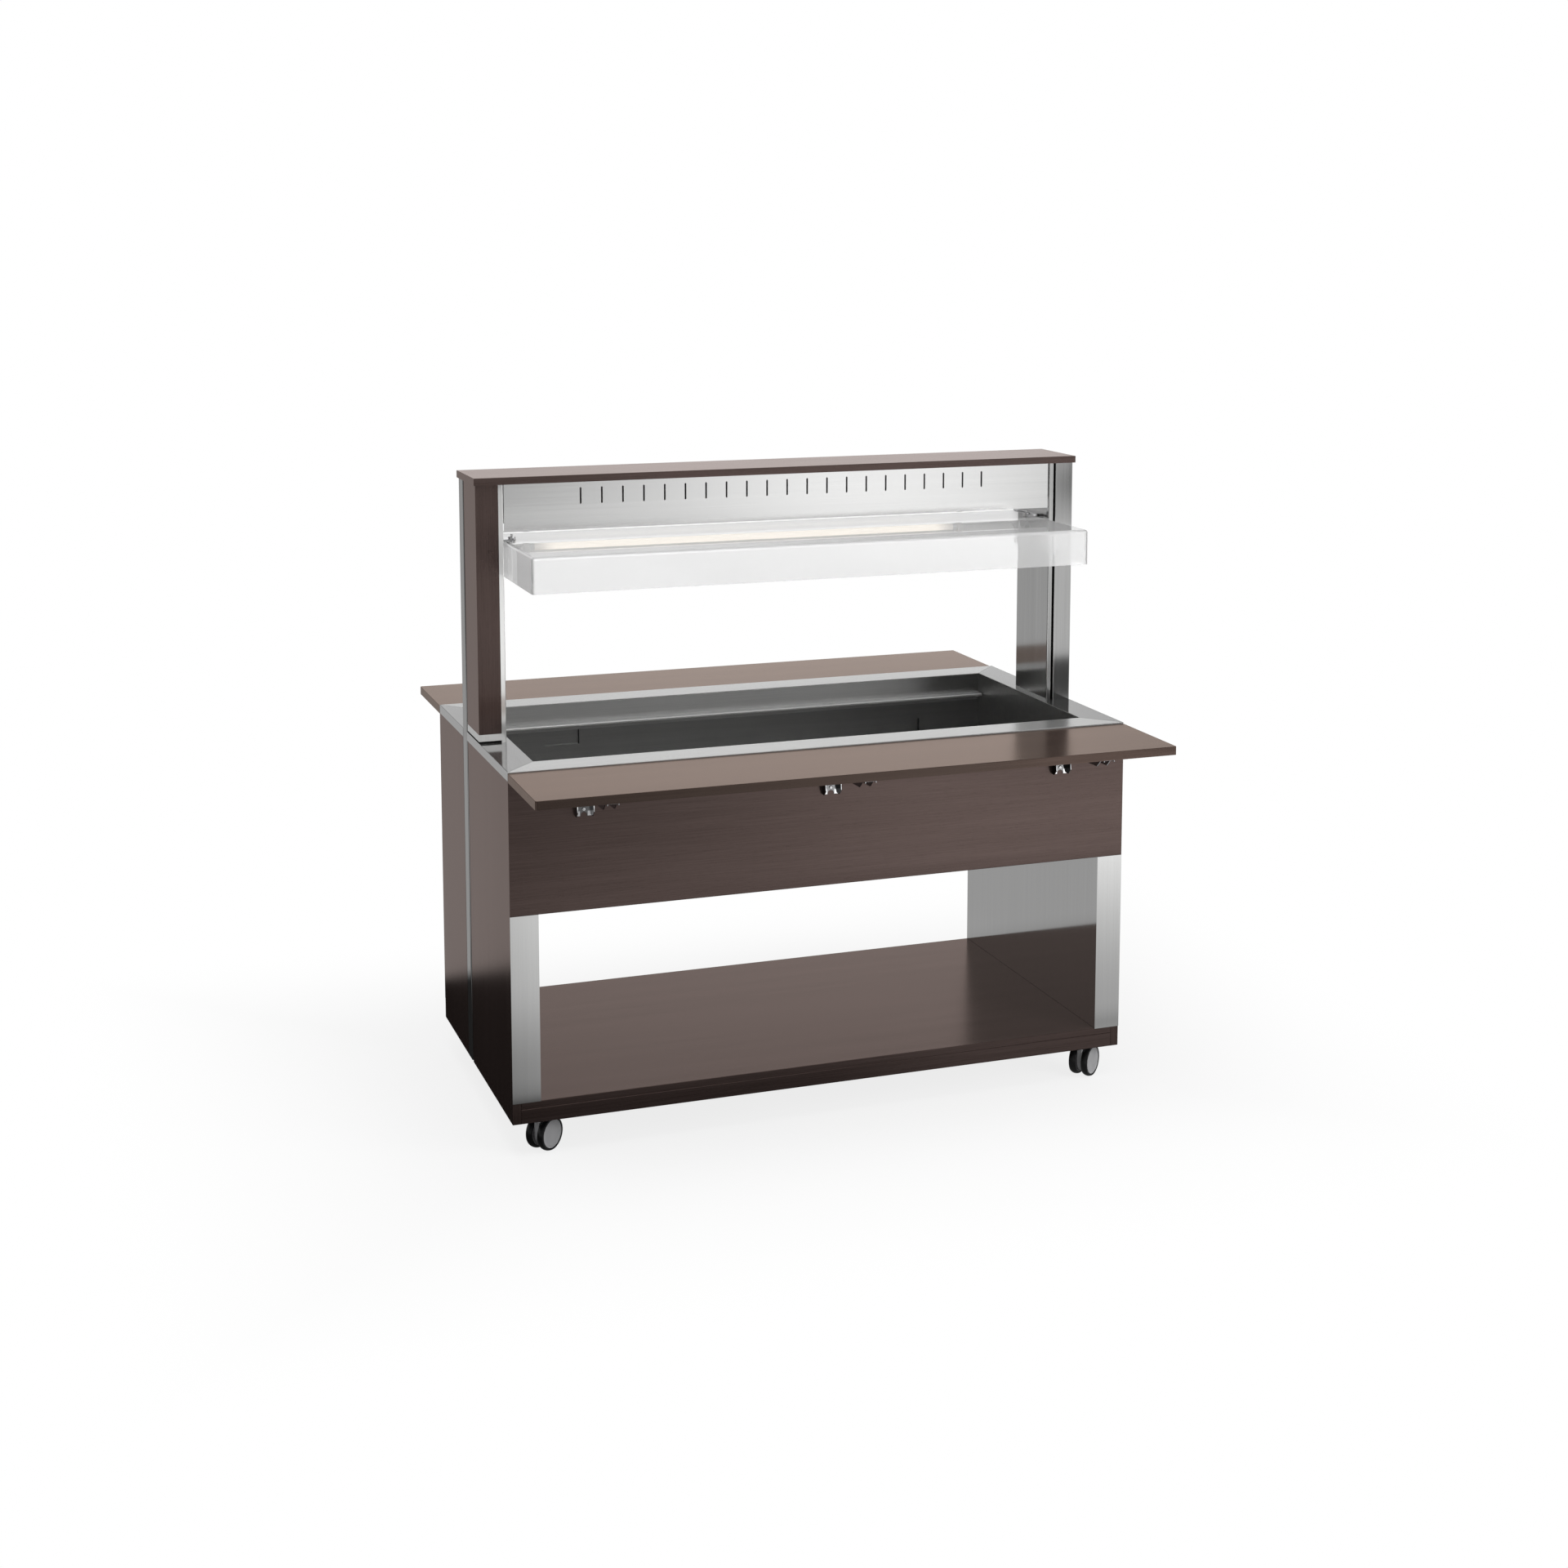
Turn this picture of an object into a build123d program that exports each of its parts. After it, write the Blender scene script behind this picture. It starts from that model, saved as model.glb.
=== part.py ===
from build123d import *

import os

os.makedirs("parts", exist_ok=True)

# Buffet trolley, in millimetres. The origin is on the floor under the middle of the trolley,
# +X runs along its length to the right, -Y faces the guests at the front and +Z is up.

# Overall sizes
length = 1450
depth = 724
counter_height = 855
bridge_height = 1447
base_height = 81
shelf_height = 129
apron_bottom = 541

# Boards and sheets
panel_thickness = 19
shelf_thickness = 16
board_thickness = 16
liner_sheet = 1.5
liner_seat = 1
counter_sheet = 2
edge_softening = 1
joint_bevel = 0.8

# End cheeks and posts: a steel upright splits each end face, with a dark groove in front of it
cheek_width = 62
upright_width = 51
upright_depth = 42
upright_rear = 92
upright_wall = 2
groove_width = 12
post_front = -83
post_cover_rear = 88
post_foot_height = 15.5
post_foot_gap = 4.5
post_foot_recess = 14
right_post_gap = 6

# Counter and well
band_height = 20
well_length = 1302
well_depth = 566
tub_height = 228
tub_sheet = 1.5
tub_corner = 16
tub_flange = 15
seam_width = 0.8
seam_depth = 0.5
ledge_drop = 47
ledge_reach = 29
ledge_web = 20
ledge_nose = 3.5
pocket_width = 84
pocket_height = 44
pocket_press = 8
pocket_x = 445
left_pocket_z = 774
right_pocket_z = 727

# Light box in the bridge
housing_bottom = 1324.5
housing_depth = 160
housing_reveal = 2
housing_return = 12
slot_count = 21
slot_pitch = 48.7
slot_height = 37
slot_width = 4
slot_z = 1399.5
carrier_length = 1280
carrier_width = 52
carrier_bottom = 1350
wing_reach = 74
wing_bottom = 1332
wing_top = 1376
tube_radius = 8
tube_length = 1047
tube_x = -64
tube_z = 1322
cap_length = 12
pin_spread = 5
pin_radius = 1.2
holder_thickness = 12
holder_width = 24
holder_height = 37

# Clear guard hood
guard_width = 1308
guard_front = -310
guard_rear = 78
guard_top = 1300
guard_bottom = 1220
guard_thickness = 5
guard_bend = 8
clamp_x = 632
clamp_y = -26
clamp_bar_front = -43
clamp_bar_rear = 96
clamp_bar_height = 20
clamp_bar_z = 1294
tab_front = -38
tab_rear = 25
tab_nose = 10
tab_sheet = 2.5
stud_radius = 2.5
stud_bottom = 1290.5
stud_top = 1313
lock_nut_radius = 5
lock_nut_height = 3.2
thumb_nut_radius = 8
thumb_nut_height = 5

# Tray slides on folding brackets
tray_depth = 246
tray_thickness = 19
tray_top = 852
tray_gap = 2
tray_corner = 4
bracket_x = 562
bracket_sheet = 2
leg_width = 38
leg_bottom = 748
leg_notch_width = 14
leg_notch_height = 9
leg_screw_z = 763
leg_screw_hole = 2
hinge_out = 15
hinge_drop = 14
hinge_radius = 3
hinge_play = 0.05
knuckle_radius = 13
arm_width = 26
arm_reach = 225
arm_deepest = 191
arm_drop = 21
arm_nose = 4
tongue_length = 16
tongue_height = 5
arm_heel = 11
bush_radius = 6.5
bush_gap = 0.3

# Twin-wheel swivel castors
castor_x = 654
castor_y = 319
castor_turn = 218
castor_trail = 12
wheel_radius = 37.5
rim_radius = 31
tyre_crown = 2
wheel_inner = 8
wheel_outer = 23
web_half = 6.5
web_radius = 28
axle_radius = 4
axle_half = 20.5
king_pin_radius = 5
barrel_radius = 15
barrel_bottom = 77
hood_top = 92
plate_size = 46
plate_thickness = 3

# Places worked out from the sizes above
half_length = length / 2
half_depth = depth / 2
panel_top = counter_height - band_height
shelf_bottom = shelf_height - shelf_thickness
cheek_inner = half_length - cheek_width
apron_face = half_depth + liner_sheet
apron_back = apron_face - panel_thickness
upright_x = half_length - upright_width / 2
upright_y = upright_rear - upright_depth / 2
groove_rear = upright_rear - upright_depth
groove_front = groove_rear - groove_width
board_bottom = bridge_height - board_thickness
counter_under = counter_height - counter_sheet
cover_thickness = cheek_width - upright_width
tray_under = tray_top - tray_thickness
hinge_y = apron_face + hinge_out
hinge_z = tray_under - hinge_drop
ends = (("left", -1), ("right", 1))
corners = (
    ("front_left", -1, -1),
    ("front_right", 1, -1),
    ("rear_left", -1, 1),
    ("rear_right", 1, 1),
)

# Bottom shelf, notched at both ends for the uprights and rebated there to seat the liners
with BuildPart() as shelf:
    with BuildSketch(Plane.XY.offset(shelf_bottom)):
        Rectangle(length - 2 * panel_thickness, depth)
        with Locations((-upright_x, upright_y), (upright_x, upright_y)):
            Rectangle(upright_width + 1, upright_depth + 1, mode=Mode.SUBTRACT)
    extrude(amount=shelf_thickness)
    long_edges = shelf.faces().sort_by(Axis.Y)[0].edges() + shelf.faces().sort_by(Axis.Y)[-1].edges()
    chamfer(long_edges, length=joint_bevel)
    with BuildSketch(Plane.XY.offset(shelf_height)):
        Rectangle(length, depth)
        Rectangle(2 * cheek_inner - 1, depth, mode=Mode.SUBTRACT)
    extrude(amount=-liner_seat, mode=Mode.SUBTRACT)
shelf.part.label = "shelf"
export_step(shelf.part, "parts/shelf.step")

# Plinth rails under the front and rear edges of the shelf
with BuildPart() as plinth_rails:
    with BuildSketch(Plane.XY.offset(base_height)):
        with GridLocations(0, depth - panel_thickness, 1, 2):
            Rectangle(length - 2 * panel_thickness, panel_thickness)
    extrude(amount=shelf_bottom - base_height)
    rail_faces = plinth_rails.faces().sort_by(Axis.Y)
    chamfer(rail_faces[0].edges() + rail_faces[-1].edges(), length=joint_bevel)
plinth_rails.part.label = "plinth_rails"
export_step(plinth_rails.part, "parts/plinth_rails.step")

for end, sign in ends:
    outer_plane = Plane.YZ.offset(sign * half_length)

    # Front half of the outer end face, notched at the top for the apron
    with BuildPart() as front_panel:
        with BuildSketch(outer_plane):
            with BuildLine():
                Polyline(
                    (-half_depth, base_height),
                    (groove_front, base_height),
                    (groove_front, panel_top),
                    (-apron_back, panel_top),
                    (-apron_back, apron_bottom),
                    (-half_depth, apron_bottom),
                    close=True,
                )
            make_face()
        extrude(amount=-sign * panel_thickness)
        chamfer(front_panel.faces().sort_by(Axis.Y)[0].edges(), length=joint_bevel)
    front_panel.part.label = f"{end}_front_panel"
    export_step(front_panel.part, f"parts/{end}_front_panel.step")

    # Rear half of the outer end face
    with BuildPart() as rear_panel:
        with BuildSketch(outer_plane):
            with BuildLine():
                Polyline(
                    (upright_rear, base_height),
                    (half_depth, base_height),
                    (half_depth, apron_bottom),
                    (apron_back, apron_bottom),
                    (apron_back, panel_top),
                    (upright_rear, panel_top),
                    close=True,
                )
            make_face()
        extrude(amount=-sign * panel_thickness)
        chamfer(rear_panel.faces().sort_by(Axis.Y)[-1].edges(), length=joint_bevel)
    rear_panel.part.label = f"{end}_rear_panel"
    export_step(rear_panel.part, f"parts/{end}_rear_panel.step")

    # Steel upright from the base to the bridge, seen as a strip on the end face
    with BuildPart() as upright:
        with BuildSketch(Plane.XY.offset(base_height)):
            with Locations((sign * upright_x, upright_y)):
                RectangleRounded(upright_width, upright_depth, upright_wall)
                Rectangle(
                    upright_width - 2 * upright_wall,
                    upright_depth - 2 * upright_wall,
                    mode=Mode.SUBTRACT,
                )
        extrude(amount=board_bottom - base_height)
    upright.part.label = f"{end}_upright"
    export_step(upright.part, f"parts/{end}_upright.step")

    # Stainless liner of the open compartment, folded round the front and rear edges of the cheek
    with BuildPart() as liner:
        with BuildSketch(Plane.XY.offset(shelf_height - liner_seat)):
            with Locations((sign * (half_length - cheek_width / 2), 0)):
                Rectangle(cheek_width, 2 * apron_face)
            with Locations((sign * (half_length - (cheek_width - liner_sheet) / 2), 0)):
                Rectangle(cheek_width - liner_sheet, depth, mode=Mode.SUBTRACT)
        extrude(amount=apron_bottom - shelf_height + liner_seat)
        with BuildSketch(Plane.XY.offset(apron_bottom)):
            with Locations((sign * (cheek_inner + liner_sheet / 2), 0)):
                Rectangle(liner_sheet, 2 * apron_back)
        extrude(amount=counter_under - tub_sheet - apron_bottom)
    liner.part.label = f"{end}_liner"
    export_step(liner.part, f"parts/{end}_liner.step")

    # Folded steel cover on the inner side of the bridge post, open towards the upright
    with BuildPart() as post_cover:
        with BuildSketch(Plane.XY.offset(counter_height)):
            with Locations(
                (sign * (cheek_inner + cover_thickness / 2), (post_front + post_cover_rear) / 2)
            ):
                Rectangle(cover_thickness, post_cover_rear - post_front)
        extrude(amount=board_bottom - counter_height)
        inner_edges = post_cover.edges().filter_by(Axis.Z).sort_by(Axis.X)
        fillet(inner_edges[-2:] if sign < 0 else inner_edges[:2], radius=2)
        open_side = post_cover.faces().filter_by(Axis.X).sort_by(Axis.X)[0 if sign < 0 else -1]
        offset(amount=-liner_sheet, openings=open_side)
    post_cover.part.label = f"{end}_post_cover"
    export_step(post_cover.part, f"parts/{end}_post_cover.step")

# Front and rear aprons, flush with the folded edges of the liners
for face, sign in (("front", -1), ("rear", 1)):
    with BuildPart() as apron:
        with BuildSketch(Plane.XY.offset(apron_bottom)):
            with Locations((0, sign * (apron_face - panel_thickness / 2))):
                Rectangle(length, panel_thickness)
        extrude(amount=panel_top - apron_bottom)
        outer_face = apron.faces().sort_by(Axis.Y)[0 if sign < 0 else -1]
        chamfer(outer_face.edges(), length=joint_bevel)
    apron.part.label = f"{face}_apron"
    export_step(apron.part, f"parts/{face}_apron.step")

# Stainless counter: a folded frame round the well, notched at the ends for the uprights
with BuildPart() as counter:
    with BuildSketch(Plane.XY.offset(panel_top)):
        Rectangle(length, depth)
    extrude(amount=band_height)
    rim = counter.faces().sort_by(Axis.Z)[-1].edges()
    fillet(rim, radius=1.5)
    with BuildSketch(Plane.XY.offset(panel_top)):
        Rectangle(length - 2 * counter_sheet, depth - 2 * counter_sheet)
    extrude(amount=band_height - counter_sheet, mode=Mode.SUBTRACT)
    with BuildSketch(Plane.XY.offset(panel_top)):
        Rectangle(well_length, well_depth)
        with Locations((-upright_x, upright_y), (upright_x, upright_y)):
            Rectangle(upright_width + 0.6, upright_depth + 0.6)
    extrude(amount=band_height, mode=Mode.SUBTRACT)
    well_rim = counter.faces().sort_by(Axis.Z)[-1].inner_wires()[0].edges()
    fillet(well_rim, radius=1.2)
    # Welded mitre seams at the four corners
    corner_x = (half_length + well_length / 2) / 2
    corner_y = (half_depth + well_depth / 2) / 2
    seam = Vector(half_length - well_length / 2, half_depth - well_depth / 2)
    seam_angle = seam.get_angle(Vector(1, 0, 0))
    with BuildSketch(Plane.XY.offset(counter_height)):
        with Locations((-corner_x, -corner_y), (corner_x, corner_y)):
            Rectangle(seam.length - 6, seam_width, rotation=seam_angle)
        with Locations((-corner_x, corner_y), (corner_x, -corner_y)):
            Rectangle(seam.length - 6, seam_width, rotation=-seam_angle)
    extrude(amount=-seam_depth, mode=Mode.SUBTRACT)
counter.part.label = "counter"
export_step(counter.part, "parts/counter.step")

# Deep-drawn tub that hangs under the counter, with two pressed pockets in its rear wall
with BuildPart() as tub:
    with BuildSketch(Plane.XY.offset(counter_under - tub_height)):
        Rectangle(well_length + 2 * tub_sheet, well_depth + 2 * tub_sheet)
    extrude(amount=tub_height)
    fillet(tub.faces().sort_by(Axis.Z)[0].edges(), radius=tub_corner)
    offset(amount=-tub_sheet, openings=tub.faces().sort_by(Axis.Z)[-1])
    with BuildSketch(Plane.XY.offset(counter_under)):
        Rectangle(well_length + 2 * tub_flange, well_depth + 2 * tub_flange)
        Rectangle(well_length, well_depth, mode=Mode.SUBTRACT)
    extrude(amount=-tub_sheet)
    with BuildSketch(Plane.XZ.offset(-well_depth / 2)):
        with Locations((-pocket_x, left_pocket_z), (pocket_x, right_pocket_z)):
            Rectangle(pocket_width + 2 * tub_sheet, pocket_height + 2 * tub_sheet)
    extrude(amount=-pocket_press - tub_sheet)
    with BuildSketch(Plane.XZ.offset(-well_depth / 2)):
        with Locations((-pocket_x, left_pocket_z), (pocket_x, right_pocket_z)):
            Rectangle(pocket_width, pocket_height)
    extrude(amount=-pocket_press, mode=Mode.SUBTRACT)
tub.part.label = "tub"
export_step(tub.part, "parts/tub.step")

# Ledges along the front and rear walls of the well that carry the food pans, with rolled noses
ledge_z = counter_height - ledge_drop
ledge_length = well_length - 6
ledge_edge = well_depth / 2 - ledge_reach + ledge_nose
with BuildPart() as pan_ledges:
    with BuildSketch(Plane.YZ.offset(-ledge_length / 2)):
        with Locations((well_depth / 2, ledge_z)):
            Rectangle(ledge_reach - ledge_nose, tub_sheet, align=(Align.MAX, Align.MAX))
            Rectangle(tub_sheet, ledge_web, align=(Align.MAX, Align.MAX))
        with Locations((ledge_edge, ledge_z - ledge_nose)):
            Circle(ledge_nose)
        mirror(about=Plane.YZ)
    extrude(amount=ledge_length)
pan_ledges.part.label = "pan_ledges"
export_step(pan_ledges.part, "parts/pan_ledges.step")

# Left bridge post: a wooden box on a steel foot band with a shadow gap under it
box_depth = groove_front - post_front
box_y = (groove_front + post_front) / 2
foot_top = counter_height + post_foot_gap + post_foot_height
with BuildPart() as left_post_foot:
    with BuildSketch(Plane.XY.offset(counter_height)):
        with Locations((-upright_x, box_y)):
            Rectangle(upright_width - 2 * post_foot_recess, box_depth - 2 * post_foot_recess)
    extrude(amount=post_foot_gap)
    with BuildSketch(Plane.XY.offset(counter_height + post_foot_gap)):
        with Locations((-upright_x, box_y)):
            Rectangle(upright_width, box_depth)
    extrude(amount=post_foot_height)
left_post_foot.part.label = "left_post_foot"
export_step(left_post_foot.part, "parts/left_post_foot.step")

with BuildPart() as left_post_box:
    with BuildSketch(Plane.XY.offset(foot_top)):
        with Locations((-upright_x, box_y)):
            Rectangle(upright_width, box_depth)
            Rectangle(upright_width - 24, box_depth - 24, mode=Mode.SUBTRACT)
    extrude(amount=board_bottom - foot_top)
left_post_box.part.label = "left_post_box"
export_step(left_post_box.part, "parts/left_post_box.step")

# Right bridge post: a brushed steel box that leaves a dark gap beside its inner cover
right_box_width = upright_width - right_post_gap
with BuildPart() as right_post_box:
    with BuildSketch(Plane.XY.offset(counter_height)):
        with Locations((half_length - right_box_width / 2, box_y)):
            RectangleRounded(right_box_width, box_depth, 2)
            Rectangle(right_box_width - 4, box_depth - 4, mode=Mode.SUBTRACT)
    extrude(amount=board_bottom - counter_height)
right_post_box.part.label = "right_post_box"
export_step(right_post_box.part, "parts/right_post_box.step")

# Wooden top board of the bridge
board_front = post_front - 6
board_rear = upright_rear + 2
with BuildPart() as bridge_board:
    with BuildSketch(Plane.XY.offset(board_bottom)):
        with Locations((0, (board_front + board_rear) / 2)):
            Rectangle(length + 8, board_rear - board_front)
    extrude(amount=board_thickness)
    fillet(bridge_board.faces().sort_by(Axis.Z)[-1].edges(), radius=edge_softening)
bridge_board.part.label = "bridge_board"
export_step(bridge_board.part, "parts/bridge_board.step")

# Light box between the posts: one folded sheet, open below, with cooling slots in its front
housing_length = 2 * (cheek_inner - housing_reveal)
with BuildPart() as light_housing:
    with BuildSketch(Plane.YZ.offset(-housing_length / 2)):
        with Locations((0, housing_bottom)):
            Rectangle(
                housing_depth, board_bottom - housing_bottom, align=(Align.CENTER, Align.MIN)
            )
            Rectangle(housing_depth - 2 * housing_return, 5, mode=Mode.SUBTRACT)
        with Locations((0, housing_bottom + liner_sheet)):
            Rectangle(
                housing_depth - 2 * liner_sheet,
                board_bottom - housing_bottom - 2 * liner_sheet,
                align=(Align.CENTER, Align.MIN),
                mode=Mode.SUBTRACT,
            )
    extrude(amount=housing_length)
    with BuildSketch(Plane.XZ.offset(housing_depth / 2)):
        with Locations((0, slot_z)):
            with GridLocations(slot_pitch, 0, slot_count, 1):
                SlotOverall(slot_height, slot_width, rotation=90)
    extrude(amount=-2 * liner_sheet, mode=Mode.SUBTRACT)
light_housing.part.label = "light_housing"
export_step(light_housing.part, "parts/light_housing.step")

# White reflector: a spine channel for the ballast and two wings that throw the light down
spine_half = carrier_width / 2
with BuildPart() as lamp_reflector:
    with BuildSketch(Plane.YZ.offset(-carrier_length / 2)):
        with BuildLine():
            Polyline(
                (spine_half - 8, board_bottom - liner_sheet),
                (spine_half, board_bottom - liner_sheet),
                (spine_half, wing_top),
                (wing_reach, wing_bottom),
                (wing_reach, wing_bottom - liner_sheet),
                (spine_half, wing_top - liner_sheet),
                (spine_half, carrier_bottom),
                (0, carrier_bottom),
                (0, carrier_bottom + 1),
                (spine_half - 1, carrier_bottom + 1),
                (spine_half - 1, board_bottom - 2 * liner_sheet),
                (spine_half - 8, board_bottom - 2 * liner_sheet),
                close=True,
            )
        make_face()
        mirror(about=Plane.YZ)
    extrude(amount=carrier_length)
lamp_reflector.part.label = "lamp_reflector"
export_step(lamp_reflector.part, "parts/lamp_reflector.step")

# Ballast on the floor of the spine channel
with BuildPart() as ballast:
    with BuildSketch(Plane.XY.offset(carrier_bottom + 1)):
        with Locations((-330, 0)):
            Rectangle(300, 40)
    extrude(amount=26)
    fillet(ballast.edges().filter_by(Axis.X), radius=2)
ballast.part.label = "ballast"
export_step(ballast.part, "parts/ballast.step")

# Fluorescent tube with end caps and two pins at each end
with BuildPart() as lamp_tube:
    with BuildSketch(Plane(origin=(tube_x, 0, tube_z))):
        with BuildLine():
            Polyline(
                (-tube_length / 2, 0),
                (-tube_length / 2, tube_radius - 1),
                (-tube_length / 2 + 1, tube_radius),
                (-tube_length / 2 + cap_length, tube_radius),
                (-tube_length / 2 + cap_length, tube_radius - 0.4),
                (tube_length / 2 - cap_length, tube_radius - 0.4),
                (tube_length / 2 - cap_length, tube_radius),
                (tube_length / 2 - 1, tube_radius),
                (tube_length / 2, tube_radius - 1),
                (tube_length / 2, 0),
                close=True,
            )
        make_face()
    revolve(axis=Axis((0, 0, tube_z), (1, 0, 0)))
    with BuildSketch(Plane.YZ.offset(tube_x)):
        with Locations((0, tube_z - pin_spread / 2), (0, tube_z + pin_spread / 2)):
            Circle(pin_radius)
    extrude(amount=tube_length / 2 + 7, both=True)
lamp_tube.part.label = "lamp_tube"
export_step(lamp_tube.part, "parts/lamp_tube.step")

# Lamp holders hanging from the spine, each with an open slot that the pins slide up into
with BuildPart() as lamp_holders:
    with BuildSketch(Plane.XZ):
        for sign in (-1, 1):
            with Locations((tube_x + sign * (tube_length + holder_thickness) / 2, carrier_bottom)):
                Rectangle(holder_thickness, holder_height, align=(Align.CENTER, Align.MAX))
    extrude(amount=holder_width / 2, both=True)
    fillet(lamp_holders.edges().filter_by(Axis.X).group_by(Axis.Z)[0], radius=holder_width / 2 - 2)
    with BuildSketch(Plane.XZ):
        for sign in (-1, 1):
            with Locations((tube_x + sign * (tube_length / 2 + 4), tube_z + pin_spread / 2 + 2)):
                Rectangle(8, 60, align=(Align.CENTER, Align.MAX))
    extrude(amount=pin_radius + 0.2, both=True, mode=Mode.SUBTRACT)
lamp_holders.part.label = "lamp_holders"
export_step(lamp_holders.part, "parts/lamp_holders.step")

# Clear guard hood: front, top and side panes bent from one sheet, open below and behind
guard_length = guard_rear - guard_front
with BuildPart() as guard:
    with BuildSketch(Plane.XY.offset(guard_bottom)):
        with Locations((0, guard_front)):
            Rectangle(guard_width, guard_length, align=(Align.CENTER, Align.MIN))
    extrude(amount=guard_top - guard_bottom)
    front_corners = guard.edges().filter_by(Axis.Z).group_by(Axis.Y)[0]
    top_bends = guard.faces().sort_by(Axis.Z)[-1].edges().sort_by(Axis.Y)[:-1]
    fillet(front_corners + top_bends, radius=guard_bend)
    open_faces = [guard.faces().sort_by(Axis.Z)[0], guard.faces().sort_by(Axis.Y)[-1]]
    offset(amount=-guard_thickness, openings=open_faces)
    with BuildSketch(Plane.XY.offset(guard_top)):
        with Locations((-clamp_x, clamp_y), (clamp_x, clamp_y)):
            Circle(stud_radius + 0.3)
    extrude(amount=-guard_bend, mode=Mode.SUBTRACT)
guard.part.label = "guard"
export_step(guard.part, "parts/guard.step")

# Chrome bars on the posts, each with a tab over the top pane and a thumb screw through both
pane_under = guard_top - guard_thickness
tab_top = guard_top + tab_sheet
with BuildPart() as guard_clamps:
    with BuildSketch(Plane.YZ.offset(guard_width / 2)):
        with Locations(((clamp_bar_front + clamp_bar_rear) / 2, clamp_bar_z)):
            SlotOverall(clamp_bar_rear - clamp_bar_front, clamp_bar_height)
    extrude(amount=cheek_inner - guard_width / 2)
    with BuildSketch(Plane.XY.offset(guard_top)):
        with Locations((clamp_x, clamp_y)):
            Circle(tab_nose)
        with Locations((cheek_inner, (tab_front + tab_rear) / 2)):
            Rectangle(
                cheek_inner - guard_width / 2,
                tab_rear - tab_front,
                align=(Align.MAX, Align.CENTER),
            )
        make_hull()
    extrude(amount=tab_sheet)
    with BuildSketch(Plane.XZ.offset(-clamp_y)):
        with BuildLine():
            Polyline(
                (clamp_x, stud_bottom),
                (clamp_x + stud_radius, stud_bottom),
                (clamp_x + stud_radius, pane_under - lock_nut_height),
                (clamp_x + lock_nut_radius, pane_under - lock_nut_height),
                (clamp_x + lock_nut_radius, pane_under),
                (clamp_x + stud_radius, pane_under),
                (clamp_x + stud_radius, tab_top),
                (clamp_x + thumb_nut_radius - 1, tab_top),
                (clamp_x + thumb_nut_radius, tab_top + 1),
                (clamp_x + thumb_nut_radius, tab_top + thumb_nut_height - 1),
                (clamp_x + thumb_nut_radius - 1, tab_top + thumb_nut_height),
                (clamp_x + stud_radius, tab_top + thumb_nut_height),
                (clamp_x + stud_radius, stud_top - 1),
                (clamp_x + stud_radius - 1, stud_top),
                (clamp_x, stud_top),
                close=True,
            )
        make_face()
    revolve(axis=Axis((clamp_x, clamp_y, 0), (0, 0, 1)))
    mirror(about=Plane.YZ)
guard_clamps.part.label = "guard_clamps"
export_step(guard_clamps.part, "parts/guard_clamps.step")

# One folding bracket leg, at the middle of the front apron: a channel with waisted cheeks
with BuildPart() as leg:
    with BuildSketch(Plane.YZ):
        with BuildLine():
            Line((-apron_face, leg_bottom), (-apron_face, hinge_z + knuckle_radius))
            Line((-apron_face, hinge_z + knuckle_radius), (-hinge_y, hinge_z + knuckle_radius))
            CenterArc((-hinge_y, hinge_z), knuckle_radius, 90, 90)
            ThreePointArc(
                (-hinge_y - knuckle_radius, hinge_z),
                (-hinge_y - 5, hinge_z - 32),
                (-hinge_y - 6, leg_bottom + 12),
            )
            Line((-hinge_y - 6, leg_bottom + 12), (-apron_face - 10, leg_bottom))
            Line((-apron_face - 10, leg_bottom), (-apron_face, leg_bottom))
        make_face()
    extrude(amount=leg_width / 2, both=True)
    with BuildSketch(Plane.XY.offset(leg_bottom)):
        with Locations((0, -apron_face - bracket_sheet)):
            Rectangle(leg_width - 2 * bracket_sheet, 60, align=(Align.CENTER, Align.MAX))
    extrude(amount=100, mode=Mode.SUBTRACT)
    # An arch in the foot of the back plate, and a screw hole over it
    with BuildSketch(Plane.XZ.offset(apron_face)):
        with BuildLine():
            Line((-leg_notch_width / 2, leg_bottom), (leg_notch_width / 2, leg_bottom))
            ThreePointArc(
                (leg_notch_width / 2, leg_bottom),
                (0, leg_bottom + leg_notch_height),
                (-leg_notch_width / 2, leg_bottom),
            )
        make_face()
        with Locations((0, leg_screw_z)):
            Circle(leg_screw_hole)
    extrude(amount=bracket_sheet, mode=Mode.SUBTRACT)
    with BuildSketch(Plane.YZ):
        with Locations((-hinge_y, hinge_z)):
            Circle(hinge_radius)
    extrude(amount=leg_width, both=True, mode=Mode.SUBTRACT)

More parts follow.
